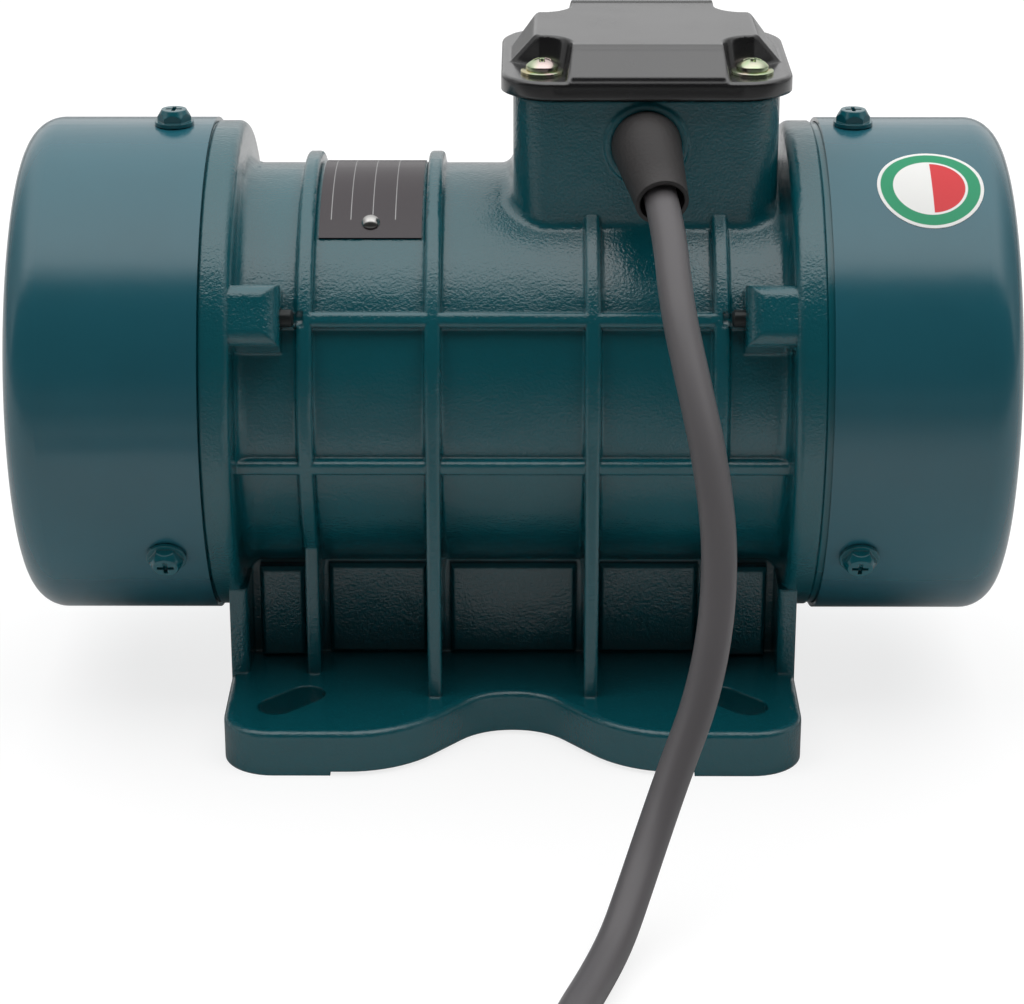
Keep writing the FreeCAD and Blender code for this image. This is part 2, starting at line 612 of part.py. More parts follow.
def outer_weight():
    """Adjustable weight: a split hub closed on the shaft by a cross bolt."""
    start, end = OUTER_WEIGHT, OUTER_WEIGHT + WEIGHT_T
    bore = rod_x(start - 1, end + 1, SHAFT_END_R + RUN)
    split = block(start - 1, end + 1, -1.0, 1.0, AXIS_Z, AXIS_Z + 30)
    bolt_hole = Part.makeCylinder(3.0 + FIT, 40, V((start + end) / 2, -20, clamp_z()), Y_AXIS)
    seat = Part.makeCylinder(5.3, 10, V((start + end) / 2, -20, clamp_z()), Y_AXIS)
    return weight_blank(start, 14.0).cut([bore, split, bolt_hole, seat])


def clamp_bolt():
    """Cross bolt of the adjustable weight, with a hexagon socket."""
    middle = OUTER_WEIGHT + WEIGHT_T / 2
    shank = Part.makeCylinder(3.0, 22.8, V(middle, -10.5, clamp_z()), Y_AXIS)
    head = Part.makeCylinder(5.0, 5.0, V(middle, -15.0, clamp_z()), Y_AXIS)
    socket = Part.makeCylinder(2.6, 3.0, V(middle, -15.5, clamp_z()), Y_AXIS)
    return head.fuse(shank).removeSplitter().cut(socket)


# --- terminal box contents and lid --------------------------------------------------------------
def gasket():
    outer = plan_prism(box_outline(0.3, BOX_R - 0.3), BOX_TOP, BOX_TOP + GASKET_T)
    window = plan_prism(box_outline(BOX_WALL, BOX_R - BOX_WALL), BOX_TOP - 1, BOX_TOP + GASKET_T + 1)
    ears = [rod_z(x, y, BOX_TOP, BOX_TOP + GASKET_T, 4.6) for x, y in lid_screw_points()]
    holes = [rod_z(x, y, BOX_TOP - 1, BOX_TOP + 2, LID_SCREW_D / 2 + 0.2) for x, y in lid_screw_points()]
    return fused([outer.cut(window)] + ears).cut(holes)


def lid_rectangle(inset, radius):
    half_w = LID_W / 2 - inset
    half_d = LID_D / 2 - inset
    return rectangle(BOX_X - half_w, BOX_X + half_w, -half_d, half_d, radius)


def lid_crown(shrink, z0, z1):
    """Sloping crown of the lid between two rounded rectangles."""
    low = rounded_wire(lid_rectangle(1.6 + shrink, LID_R - 1.6 - shrink), lambda x, y: V(x, y, z0))
    half_w = 25.4 - shrink
    half_d = 22.8 - shrink
    high = rounded_wire(rectangle(BOX_X - half_w, BOX_X + half_w, -half_d, half_d, 2.5), lambda x, y: V(x, y, z1))
    return Part.makeLoft([low, high], True, True)


def screw_pocket():
    """Cutter for the arched pocket around one lid screw, drawn at the -X, -Y corner."""
    inner_x = BOX_X - 18.6
    arch_y = -12.2
    corners = [(inner_x, -LID_D / 2 + 1.2, 2.0), (inner_x, arch_y, 6.5), (BOX_X - LID_W / 2 + 9.0, arch_y, 4.0),
               (BOX_X - LID_W / 2 + 1.3, -5.5, 1.0), (BOX_X - LID_W / 2 + 1.3, -LID_D / 2 + 1.2, LID_R - 1.3)]
    return plan_prism(corners, LID_SEAT, BOX_TOP + 20)


def lid():
    """Moulded lid: thick rim, sloping crown with framed faces, and an open pocket at each corner screw."""
    base = BOX_TOP + GASKET_T
    rim_top = base + LID_RIM
    top = base + LID_H
    rim = plan_prism(lid_rectangle(0, LID_R), base, rim_top)
    edges = [edge for edge in rim.Edges if edge.BoundBox.ZLength < 1e-6]
    rim = rim.makeFillet(0.9, edges)
    crown = lid_crown(0, rim_top - 0.5, top)
    pockets = []
    for cutter in (screw_pocket(), screw_pocket().mirror(V(BOX_X, 0, 0), X_AXIS)):
        pockets += [cutter, cutter.mirror(ORIGIN, Y_AXIS)]
    skin = 2.2
    half_w = 14.0
    half_d = BOX_D / 2 - 8.0
    hollow = plan_prism(rectangle(BOX_X - half_w, BOX_X + half_w, -half_d, half_d, 3.0), base - 1, top - skin)
    panel = block(BOX_X - 17.2, BOX_X + 17.2, -LID_D / 2, -LID_D / 2 + 2.0, rim_top + 0.6, top - 1.5)
    lean = math.degrees(math.atan2(LID_D / 2 - 1.6 - 22.8, LID_H - LID_RIM + 0.5))
    panel.rotate(V(BOX_X, -LID_D / 2 + 1.6, rim_top - 0.5), X_AXIS, -lean)
    panel.translate(V(0, 0.1, 0))
    holes = [rod_z(x, y, base - 1, top, LID_SCREW_D / 2 + 0.3) for x, y in lid_screw_points()]
    return fused([rim, crown]).cut(pockets + [hollow, panel, panel.mirror(ORIGIN, Y_AXIS)] + holes)


def lid_washers():
    rings = []
    for x, y in lid_screw_points():
        ring = rod_z(x, y, LID_SEAT, LID_SEAT + 0.9, 5.0)
        rings.append(ring.cut(rod_z(x, y, LID_SEAT - 1, LID_SEAT + 2, LID_SCREW_D / 2 + FIT)))
    return group(rings)


def lid_screws():
    """Pan-head screws: domed head with a cross recess, and a plain shank."""
    screws = []
    head_z = LID_SEAT + 0.9
    for x, y in lid_screw_points():
        dome = Part.makeSphere(4.9, V(x, y, head_z - 2.2)).common(rod_z(x, y, head_z, head_z + 4, 3.8))
        shank = rod_z(x, y, BOX_TOP - 11, head_z + 0.5, LID_SCREW_D / 2)
        cross = [block(x - a, x + a, y - b, y + b, head_z + 1.5, head_z + 5) for a, b in ((1.9, 0.4), (0.4, 1.9))]
        screws.append(dome.fuse(shank).removeSplitter().cut(cross))
    return group(screws)


def terminal_block():
    """Three-way block with a wire funnel on each side of every clamp."""
    body = block(TERMINAL_X, TERMINAL_X + 15, -18.0, 10.0, BOX_FLOOR, BOX_FLOOR + 10)
    long_edges = [edge for edge in body.Edges if edge.BoundBox.YLength > 20 and edge.BoundBox.ZMin > BOX_FLOOR + 5]
    body = body.makeFillet(1.5, long_edges)
    cuts = []
    for y in TERMINAL_YS:
        cuts.append(rod_x(TERMINAL_X - 1, TERMINAL_X + 16, 1.5, y=y, z=BOX_FLOOR + 4.5))
        cuts.append(rod_z(TERMINAL_X + 7.5, y, BOX_FLOOR + 4.5, BOX_FLOOR + 11, 2.6))
    return body.cut(cuts)


def terminal_screws():
    screws = []
    for y in TERMINAL_YS:
        screw = rod_z(TERMINAL_X + 7.5, y, BOX_FLOOR + 6.1, BOX_FLOOR + 9.4, 2.4)
        slot = block(TERMINAL_X + 4, TERMINAL_X + 11, y - 0.4, y + 0.4, BOX_FLOOR + 8.4, BOX_FLOOR + 10)
        screws.append(screw.cut(slot))
    return group(screws)


def capacitor():
    """Run capacitor: a potted block with rounded upright edges."""
    return plan_prism(rectangle(24.5, 50.5, 10.5, 21.3, 2.0), BOX_FLOOR, BOX_FLOOR + 17)


def bent_tube(points, radius, bend):
    """Round tube along straight runs joined by tangent arcs of one radius."""
    edges = []
    start = points[0]
    for i in range(1, len(points) - 1):
        before = points[i - 1] - points[i]
        after = points[i + 1] - points[i]
        half = before.getAngle(after) / 2
        before.normalize()
        after.normalize()
        bisector = before + after
        bisector.normalize()
        reach = bend / math.tan(half)
        enter = points[i] + before * reach
        leave = points[i] + after * reach
        middle = points[i] + bisector * (bend / math.sin(half) - bend)
        edges.append(Part.LineSegment(start, enter).toShape())
        edges.append(Part.Arc(enter, middle, leave).toShape())
        start = leave
    edges.append(Part.LineSegment(start, points[-1]).toShape())
    return swept(Part.Wire(edges), points[0], points[1] - points[0], radius)


def swept(path, start, direction, radius):
    section = Part.Wire([Part.Circle(start, direction, radius).toShape()])
    return path.makePipeShell([section], True, False)


def stator_leads():
    """Three winding leads that rise through the wire hole and turn into the far row of the terminal block."""
    leads = []
    clamp_x = TERMINAL_X + 14.5
    for index, y in enumerate(TERMINAL_YS):
        foot = WIRE_HOLE + V((1.6, 0.0, -1.6)[index], (-1.5, 1.6, -1.5)[index], AXIS_Z + 39.0)
        rise = BOX_FLOOR + 4.5
        leads.append(bent_tube([foot, V(foot.x, foot.y, rise), V(clamp_x + 2.2, y, rise), V(clamp_x - 2, y, rise)],
                               0.9, 1.4))
    return group(leads)


def supply_tail():
    """End of the cord inside the box: the sheath beyond the boot, ready for the clamps."""
    start = V(BOX_X - 0.2, -BOX_D / 2 + BOX_WALL + 1.5, ENTRY_Z)
    return Part.makeCylinder(CORD_D / 2, 8.0, start, Y_AXIS)


def earth_screw():
    x, y = BOX_X + 20.0, -8.0
    ring = rod_z(x, y, BOX_FLOOR, BOX_FLOOR + 0.8, 4.0)
    head = rod_z(x, y, BOX_FLOOR + 0.8, BOX_FLOOR + 3.2, 3.4)
    slot = block(x - 4, x + 4, y - 0.5, y + 0.5, BOX_FLOOR + 2.2, BOX_FLOOR + 4)
    return ring.fuse(head).removeSplitter().cut(slot)


# --- boot, cord and plug ------------------------------------------------------------------------
def boot_axis():
    root = V(BOX_X - 0.2, -BOX_D / 2, ENTRY_Z)
    lean = BOOT_END - root
    lean.normalize()
    return root, lean


def strain_relief():
    """Tapered rubber boot: plugged through the wall, drooping outside, with an open collar end."""
    root, lean = boot_axis()
    outward = V(0, -1, 0)
    plug = Part.makeCylinder(ENTRY_R - FIT, BOX_WALL + 1.0, V(root.x, root.y + BOX_WALL, root.z), outward)
    inner_flange = Part.makeCylinder(ENTRY_R + 1.0, 1.5, V(root.x, root.y + BOX_WALL + 1.5, root.z), outward)
    start = root + outward * 1.0
    middle = root + outward * 7.5 + V(0.5, 0, -1.2)
    mid_lean = outward + lean
    sections = []
    for centre, direction, radius in ((start, outward, ENTRY_R - FIT), (middle, mid_lean, 7.6),
                                      (BOOT_END - lean * 2.5, lean, 6.3), (BOOT_END, lean, 6.1)):
        sections.append(Part.Wire([Part.Circle(centre, direction, radius).toShape()]))
    taper = Part.makeLoft(sections, True, False)
    mouth = Part.makeCylinder(5.1, 10.0, BOOT_END - lean * 9.0, lean)
    return fused([plug, taper, inner_flange]).cut(mouth)


def cord_route():
    """Points of the cord from the boot's mouth down to the floor and along it to the coil."""
    root, lean = boot_axis()
    seat = BOOT_END - lean * 9.0
    floor_z = CORD_D / 2 + 0.02
    return [seat, BOOT_END + lean * 8.0, V(36.1, -73.0, 115.0), V(39.2, -85.0, 102.5), V(42.8, -96.0, 88.0),
            V(44.8, -105.5, 72.5), V(43.9, -114.0, 57.0), V(40.5, -121.5, 42.5), V(34.7, -129.0, 29.5),
            V(29.8, -137.5, 18.5), V(25.6, -147.5, 10.5), V(21.9, -159.0, 5.8), V(17.3, -172.0, floor_z),
            V(12.1, -187.0, floor_z), V(8.0, -204.0, floor_z), V(5.8, -221.0, floor_z),
            V(4.9, -238.5, floor_z), V(4.9, -256.0, floor_z)]


def cord():
    """Free length of the cord: straight runs joined by the largest arcs that they allow."""
    points = cord_route()
    edges = []
    start = points[0]
    length = 0.0
    radii = []
    for i in range(1, len(points) - 1):
        before = points[i - 1] - points[i]
        after = points[i + 1] - points[i]
        half_turn = (math.pi - before.getAngle(after)) / 2
        reach = 0.45 * min(before.Length, after.Length)
        radius = reach / math.tan(half_turn)
        before.normalize()
        after.normalize()
        bisector = before + after
        bisector.normalize()
        enter = points[i] + before * reach
        leave = points[i] + after * reach
        middle = points[i] + bisector * (radius / math.cos(half_turn) - radius)
        edges.append(Part.LineSegment(start, enter).toShape())
        edges.append(Part.Arc(enter, middle, leave).toShape())
        length += start.distanceToPoint(enter) + 2 * half_turn * radius
        radii.append(round(radius / CORD_D, 1))
        start = leave
    edges.append(Part.LineSegment(start, points[-1]).toShape())
    length += start.distanceToPoint(points[-1])
    tube = swept(Part.Wire(edges), points[0], points[1] - points[0], CORD_D / 2)
    print("cord: length", round(length, 1), "mm, arc radii in diameters", radii,
          "volume over section x length", round(tube.Volume / (length * math.pi * CORD_D ** 2 / 4), 4))
    return tube


def cord_coil():
    """Outer shape of the put-away length: a flat ring, two turns wide and two turns high."""
    half = COIL_BAND / 2
    face = Part.Face(rounded_wire([(COIL_R - half, 0.02, 3.8), (COIL_R + half, 0.02, 3.8),
                                   (COIL_R + half, COIL_BAND, 3.8), (COIL_R - half, COIL_BAND, 3.8)],
                                  lambda r, z: V(COIL_CENTRE.x + r, COIL_CENTRE.y, z)))
    return face.revolve(COIL_CENTRE, Z_AXIS, 360)


# --- labels -------------------------------------------------------------------------------------
def rating_plate():
    """Blank metal plate bent over the top of the barrel between the first two ribs."""
    half_arc = 35.3
    root = RIB_W / 2 + 1.1
    band = ring_x(RIB_X[0] + root, RIB_X[1] - root, BODY_R + FIT, BODY_R + 0.5)
    reach = BODY_R + 10
    slope = math.tan(math.radians(half_arc))
    wedge = cross_prism([(0, AXIS_Z, 0), (-reach * slope, AXIS_Z + reach, 0), (reach * slope, AXIS_Z + reach, 0)],
                        RIB_X[0], RIB_X[1])
    return band.common(wedge)


def plate_rivets():
    """Dome-headed rivets at the two ends of the plate."""
    middle = (RIB_X[0] + RIB_X[1]) / 2
    dome = Part.makeSphere(2.6, V(middle, -BODY_R - 0.5 + 1.1, AXIS_Z))
    head = dome.common(Part.makeCylinder(2.2, 4, V(middle, -BODY_R - 4.5, AXIS_Z), Y_AXIS))
    return group([about_shaft(head, angle) for angle in (60.2, 119.8)])


def round_sticker():
    """Round sticker on the right cover, as thin as its film."""
    disc = Part.makeCylinder(12.3, 20, V(96.4, -COVER_R - 5, AXIS_Z), Y_AXIS)
    film = ring_x(80, 112, COVER_R, COVER_R + 0.12)
    return about_shaft(disc.common(film), 61.5)


def coil_exit():
    """Where the cord leaves the top of the coil for the plug, and the way it goes."""
    turn = math.radians(235)
    reach = COIL_R + CORD_D / 2
    start = COIL_CENTRE + V(reach * math.cos(turn), reach * math.sin(turn), PLUG_R + 0.02)
    return start, V(math.sin(turn), -math.cos(turn), 0)


def cord_end():
    start, heading = coil_exit()
    return Part.makeCylinder(CORD_D / 2, PLUG_REACH, start, heading)


def plug_parts():
    """Moulded two-pin plug lying beside the coil: tapered neck, rounded body and round pins."""
    start, along = coil_exit()
    neck_start = start + along * PLUG_REACH
    back = neck_start + along * 18.0
    neck = Part.makeCone(5.0, 8.5, 18.0, neck_start, along)
    body = Part.makeCylinder(PLUG_R, 24.0, back, along)
    body = body.makeFillet(2.5, [edge for edge in body.Edges if isinstance(edge.Curve, Part.Circle)])
    across = along.cross(Z_AXIS)
    pins = []
    for side in (-1, 1):
        root = back + along * 24.0 + across * (side * 6.0)
        pin = Part.makeCylinder(2.0, 17.0, root, along)
        tip = Part.makeSphere(2.0, root + along * 17.0)
        pins.append(pin.fuse(tip).removeSplitter())
    return fused([neck, body]), group(pins)


def main():
    os.makedirs("parts", exist_ok=True)
    export("frame_housing", frame_housing())
    export("end_cover_right", end_cover(RIGHT_SEAM))
    export("end_cover_left", mirror_x(end_cover(LEFT_SEAM)))
    export_pair("cover_screws", cover_screws())
    export_pair("end_shield", end_shield())
    export_pair("shield_bolts", shield_bolts())
    export_pair("bearing_outer_ring", bearing_outer_ring())
    export_pair("bearing_inner_ring", bearing_inner_ring())
    export_pair("bearing_balls", bearing_balls())
    export_pair("bearing_cage", bearing_cage())
    export_pair("bearing_retaining_ring", retaining_ring())
    export("stator_core", stator_core())
    export("stator_windings", stator_windings())
    export("rotor_core", rotor_core())
    export("rotor_cage", rotor_cage())
    export("shaft", shaft())
    export_pair("shaft_spacer", shaft_spacer())
    export_pair("shaft_snap_ring", shaft_snap_ring())
    export_pair("weight_key", weight_key())
    export_pair("inner_weight", inner_weight())
    export_pair("outer_weight", outer_weight())
    export_pair("clamp_bolt", clamp_bolt())
    export("box_gasket", gasket())
    export("box_lid", lid())
    export("lid_washers", lid_washers())
    export("lid_screws", lid_screws())
    export("terminal_block", terminal_block())
    export("terminal_screws", terminal_screws())
    export("capacitor", capacitor())
    export("stator_leads", stator_leads())
    export("supply_tail", supply_tail())
    export("earth_screw", earth_screw())
    export("strain_relief", strain_relief())
    export("cord", cord())
    export("cord_coil", cord_coil())
    export("cord_end", cord_end())
    plug, pins = plug_parts()
    export("plug_body", plug)
    export("plug_pins", pins)
    export("rating_plate", rating_plate())
    export("plate_rivets", plate_rivets())
    export("round_sticker", round_sticker())


main()
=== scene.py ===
# %% [markdown]
# # A vibration motor, dressed for the camera
#
# The motor's construction is already made: each piece is a CAD node at its real size. This lesson gives
# every piece its finish, makes the rubber cord, the lid and the lid's screws as smooth surfaces, and sets
# up a small white studio. In the frame of the CAD model X runs along the shaft, -Y is the side of the
# cable entry and Z is up. Blender works in metres. Shapes that a maker would measure in millimetres are
# worked out in millimetres and then multiplied by MM.

import math

import bmesh
import bpy
import numpy as np
from mathutils import Euler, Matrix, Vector


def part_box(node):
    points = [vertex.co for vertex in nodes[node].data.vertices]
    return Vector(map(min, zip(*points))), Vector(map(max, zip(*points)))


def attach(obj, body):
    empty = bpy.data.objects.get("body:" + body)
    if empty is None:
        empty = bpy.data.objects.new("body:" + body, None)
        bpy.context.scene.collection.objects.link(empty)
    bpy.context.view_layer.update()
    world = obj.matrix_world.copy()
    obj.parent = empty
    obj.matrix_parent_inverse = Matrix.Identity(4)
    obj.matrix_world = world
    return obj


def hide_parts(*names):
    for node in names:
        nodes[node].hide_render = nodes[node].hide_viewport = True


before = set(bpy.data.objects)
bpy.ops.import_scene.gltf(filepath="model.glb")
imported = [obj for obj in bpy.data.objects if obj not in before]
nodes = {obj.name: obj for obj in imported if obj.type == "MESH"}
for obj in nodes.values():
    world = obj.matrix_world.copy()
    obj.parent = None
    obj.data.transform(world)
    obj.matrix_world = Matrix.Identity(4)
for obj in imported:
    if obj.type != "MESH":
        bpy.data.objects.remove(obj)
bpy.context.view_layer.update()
MM = 0.001

# %% [markdown]
# ## Camera
#
# A catalogue shows such a motor through a long lens, square to the shaft and a little above it, so that
# the two round covers show almost no perspective. The camera could be aimed with a Track To constraint.
# Here its place and its three angles are written down, because then nothing else can turn it.

# %% Camera
SENSOR_WIDTH, FOCAL_LENGTH = 36.0, 107.37  # millimetres, as cameras are described
CAMERA_SPOT = Vector((3.13, -711.66, 321.07)) * MM
LOOK_DOWN, ROLL, PAN = 21.546, 0.04, 0.27  # degrees
FARTHEST_SEEN = 20.0

camera_data = bpy.data.cameras.new("camera")
camera_data.sensor_width = SENSOR_WIDTH
camera_data.lens = FOCAL_LENGTH
camera_data.clip_end = FARTHEST_SEEN
camera = bpy.data.objects.new("camera", camera_data)
camera.location = CAMERA_SPOT
camera.rotation_euler = Euler((math.radians(90 - LOOK_DOWN), math.radians(ROLL), math.radians(PAN)))
bpy.context.scene.collection.objects.link(camera)
bpy.context.scene.camera = camera
bpy.context.scene.view_settings.view_transform = "Standard"
print("camera at", [round(c, 3) for c in camera.location])

# %% [markdown]
# ## A few helpers for node materials
#
# A finish is a Principled shader with its texture worked out from Object coordinates, so that nothing
# slides when the motor is seen from another side. The nodes could be laid out by hand in the shader
# editor. `Shade` keeps the node tree of one material and adds each node in one call, because the same
# few steps come back in every finish.


# %% Material helper
class Shade:
    """One node material: a Principled shader, Object coordinates, and short calls that add nodes."""

    def __init__(self, name):
        self.material = bpy.data.materials.new(name)
        self.material.use_nodes = True
        self.tree = self.material.node_tree
        self.shader = self.tree.nodes["Principled BSDF"]
        self.place = self.tree.nodes.new("ShaderNodeTexCoord").outputs["Object"]

    def set(self, **values):
        """Constants on the shader's own sockets; an underscore in a name stands for a space."""
        for name, value in values.items():
            self.shader.inputs[name.replace("_", " ")].default_value = value

    def add(self, kind, inputs=None, **settings):
        """A new node with settings, its sockets set to constants or linked from other sockets."""
        node = self.tree.nodes.new(kind)
        for name, value in settings.items():
            setattr(node, name, value)
        for name, value in (inputs or {}).items():
            if isinstance(value, bpy.types.NodeSocket):
                self.tree.links.new(value, node.inputs[name])
            else:
                node.inputs[name].default_value = value
        return node

    def link(self, output, name):
        """Joins an output to the named socket of the shader."""
        self.tree.links.new(output, self.shader.inputs[name])

    def noise(self, scale, detail=3.0, roughness=0.5, place=None):
        """Noise between 0 and 1 with about scale cells to a metre."""
        node = self.add("ShaderNodeTexNoise", {"Vector": place or self.place, "Scale": scale,
                                               "Detail": detail, "Roughness": roughness})
        return node.outputs["Fac"]

    def remap(self, value, low, high, to_low=0.0, to_high=1.0):
        """A value between low and high carried to the range to_low .. to_high, and held at its ends."""
        node = self.add("ShaderNodeMapRange", {"Value": value, "From Min": low, "From Max": high,
                                               "To Min": to_low, "To Max": to_high})
        return node.outputs["Result"]

    def math(self, operation, a, b=0.0):
        """One sum of two values, or of one value where the operation takes one."""
        return self.add("ShaderNodeMath", {0: a, 1: b}, operation=operation).outputs[0]

    def mix(self, factor, a, b):
        """Colour a where factor is 0 and colour b where it is 1."""
        node = self.add("ShaderNodeMix", data_type="RGBA")
        for socket, value in ((node.inputs[0], factor), (node.inputs[6], a), (node.inputs[7], b)):
            if isinstance(value, bpy.types.NodeSocket):
                self.tree.links.new(value, socket)
            elif socket.type == "RGBA":
                socket.default_value = (*value, 1.0)
            else:
                socket.default_value = value
        return node.outputs[2]

    def bumps(self, *layers, edge=0.0):
        """Bump nodes one after another, from pairs (height socket, depth in metres).

        With an edge radius the first of them starts from normals that are rounded over every edge.
        """
        normal = None
        if edge:
            normal = self.add("ShaderNodeBevel", {"Radius": edge}, samples=6).outputs["Normal"]
        for height, depth in layers:
            node = self.add("ShaderNodeBump", {"Height": height, "Distance": depth, "Strength": 1.0})
            if normal is not None:
                self.tree.links.new(normal, node.inputs["Normal"])
            normal = node.outputs["Normal"]
        self.link(normal, "Normal")
        self.link(normal, "Coat Normal")


print("Shade can:", [name for name in vars(Shade) if not name.startswith("_")])


# %% Dressing the CAD nodes
def both_ends(*names):
    """The left and the right node of each name."""
    return [name + "_" + side for name in names for side in ("left", "right")]


def dress(finishes):
    """Gives CAD nodes their finish, from pairs (material, names of nodes); returns what was done."""
    for material, names in finishes:
        for name in names:
            slots = nodes[name].data.materials
            slots.clear()
            slots.append(material)
    return f"finishes {len(finishes)}, nodes {sum(len(names) for _, names in finishes)}"


print(len(nodes), "CAD nodes to dress")

# %% [markdown]
# ## Teal enamel
#
# The castings and covers are sprayed with one thick gloss enamel: a coloured layer with a clear skin of
# its own binder on top. Thick paint on a sand casting keeps a faint orange-peel, a fine speckle of about
# 0.7 mm over a slower unevenness of about 9 mm, and it flows round over every edge. The covers are drawn
# sheet, so theirs is much shallower, and the gloss on them is a little softer. A painted image could
# carry all this, but it would have to be unwrapped for every piece. Noise with a scale in metres keeps
# the same grain on all of them, and a Bevel node bends the light round the edges as thick paint does.


# %% Teal enamel
TEAL, FRAME_TEAL_PAINTED_SHADE, COVER_TEAL_PAINTED_REFLECTION = (0.0030, 0.110, 0.138), (0.0030, 0.098, 0.122), (0.0140, 0.114, 0.152)
SPECKLE, UNEVENNESS, CLOUDS = 1500.0, 110.0, 35.0  # cells to a metre
UNDER_SKIN = 0.08  # how much rougher the coloured layer is than its skin


def enamel(name, edge, peel, roll, skin, tint=TEAL, gloss=1.5):
    """Gloss enamel.

    The colour drifts in clouds down to 0.8 of its strength. It flows round edges to the radius edge;
    peel and roll are the depths in metres of the fine speckle and of the slow unevenness. Skin is the
    roughness of the clear layer, gloss its index of refraction.
    """
    shade = Shade(name)
    cloud = shade.noise(CLOUDS, 3.0, 0.6)
    shade.link(shade.mix(cloud, tint, tuple(c * 0.80 for c in tint)), "Base Color")
    shade.set(IOR=gloss, Roughness=skin + UNDER_SKIN, Coat_Weight=1.0, Coat_IOR=gloss, Coat_Roughness=skin)
    shade.bumps((shade.noise(UNEVENNESS, 2.0, 0.5), roll),
                (shade.noise(SPECKLE, 2.0, 0.6), peel), edge=edge)
    return shade.material


# The frame's enamel is a darker copy of the same paint all over: painted shade.
frame_enamel = enamel("frame_enamel", edge=0.0009, peel=0.00012, roll=0.00022, skin=0.05,
                      tint=FRAME_TEAL_PAINTED_SHADE, gloss=1.56)
shield_enamel = enamel("shield_enamel", edge=0.0004, peel=0.00002, roll=0.00008, skin=0.10)
# The covers' enamel is a greyer, lighter copy of the same paint: its extra red is a painted reflection of
# the dim room.
cover_enamel = enamel("cover_enamel", edge=0.0, peel=0.000003, roll=0.00004, skin=0.16, tint=COVER_TEAL_PAINTED_REFLECTION)
screw_enamel = enamel("screw_enamel", edge=0.0004, peel=0.00001, roll=0.0001, skin=0.12)
print("enamel:", dress([
    (frame_enamel, ["frame_housing"]),
    (shield_enamel, both_ends("end_shield")),
    (cover_enamel, both_ends("end_cover")),
    (screw_enamel, both_ends("cover_screws")),
]))

# %% [markdown]
# ## Metals inside and outside
#
# Bolts, shaft, bearings, weights and laminations are hidden by the covers, but they show when a cover is
# taken off. They are turned, pressed, cast or stamped. One grey could stand for all of them, but a maker
# tells them apart by the colour, by how dull they are and by how rough the surface was left. So one
# function makes them all and each gets its own three numbers.


# %% Metals
def metal(name, colour, roughness, grain=0.00001, scale=900.0, metallic=1.0):
    """Bare metal: grain is the depth of its texture in metres, scale its cells to a metre."""
    shade = Shade(name)
    cloud = shade.noise(60.0, 3.0)
    shade.link(shade.mix(cloud, colour, tuple(c * 0.8 for c in colour)), "Base Color")
    shade.set(Metallic=metallic, Roughness=roughness)
    shade.bumps((shade.noise(scale, 3.0), grain))
    return shade.material


bolt_steel = metal("bolt_steel", (0.42, 0.43, 0.44), 0.28)
bearing_steel = metal("bearing_steel", (0.60, 0.61, 0.63), 0.12, grain=0.000002)
pressed_steel = metal("pressed_steel", (0.35, 0.35, 0.34), 0.35)
lamination_steel = metal("lamination_steel", (0.20, 0.205, 0.21), 0.45, grain=0.00002)
winding_copper = metal("winding_copper", (0.55, 0.20, 0.07), 0.30, grain=0.0002, scale=700.0)
cage_aluminium = metal("cage_aluminium", (0.60, 0.61, 0.62), 0.40, grain=0.00003)
shaft_steel = metal("shaft_steel", (0.48, 0.49, 0.50), 0.22, grain=0.000006)
weight_iron = metal("weight_iron", (0.13, 0.13, 0.135), 0.55, grain=0.00008, scale=500.0)
bolt_paint = metal("bolt_paint", (0.020, 0.024, 0.025), 0.30, grain=0.00004, scale=1400.0, metallic=0.3)
rivet_metal = metal("rivet_metal", (0.72, 0.71, 0.69), 0.20, grain=0.000006)
pin_plate = metal("pin_plate", (0.66, 0.65, 0.63), 0.15, grain=0.000002)
print("bare metals made, the last of them is", pin_plate.name)

# %% [markdown]
# ## Zinc on the small screws
#
# The lid's screws and washers are zinc plated and dipped in a thin yellow passivation, whose film shows
# straw, green and rose where it is thinner or thicker. A film shader could work that out from its
# thickness. Three colours mixed by a slow noise give the same drift, and they hold in any renderer.


# %% Passivated zinc
STRAW, PALE_GREEN, ROSE = (0.90, 0.80, 0.50), (0.66, 0.80, 0.52), (0.86, 0.70, 0.66)
TO_GREEN, TO_ROSE = (0.35, 0.50), (0.52, 0.66)  # spans of the noise over which the film changes


def passivated(name):
    """Zinc with a thin yellow passivation, whose film drifts through straw, green and rose."""
    shade = Shade(name)
    drift = shade.noise(170.0, 1.0)
    straw_green = shade.mix(shade.remap(drift, *TO_GREEN), STRAW, PALE_GREEN)
    colour = shade.mix(shade.remap(drift, *TO_ROSE), straw_green, ROSE)
    shade.link(colour, "Base Color")
    shade.set(Metallic=1.0, Roughness=0.20)
    shade.bumps((shade.noise(1300.0, 3.0), 0.00001), edge=0.0002)
    return shade.material


zinc_plate = passivated("zinc_plate")
print("metals:", dress([
    (bolt_paint, both_ends("shield_bolts")),
    (bolt_steel, both_ends("clamp_bolt")),
    (bearing_steel, both_ends("bearing_outer_ring", "bearing_inner_ring", "bearing_balls")),
    (pressed_steel, both_ends("bearing_cage", "bearing_retaining_ring", "shaft_snap_ring")),
    (lamination_steel, ["stator_core", "rotor_core"]),
    (winding_copper, ["stator_windings"]),
    (cage_aluminium, ["rotor_cage"]),
    (shaft_steel, ["shaft", *both_ends("shaft_spacer", "weight_key")]),
    (weight_iron, both_ends("inner_weight", "outer_weight")),
    (zinc_plate, ["lid_screws", "lid_washers", "terminal_screws", "earth_screw"]),
    (rivet_metal, ["plate_rivets"]),
    (pin_plate, ["plug_pins"]),
]))

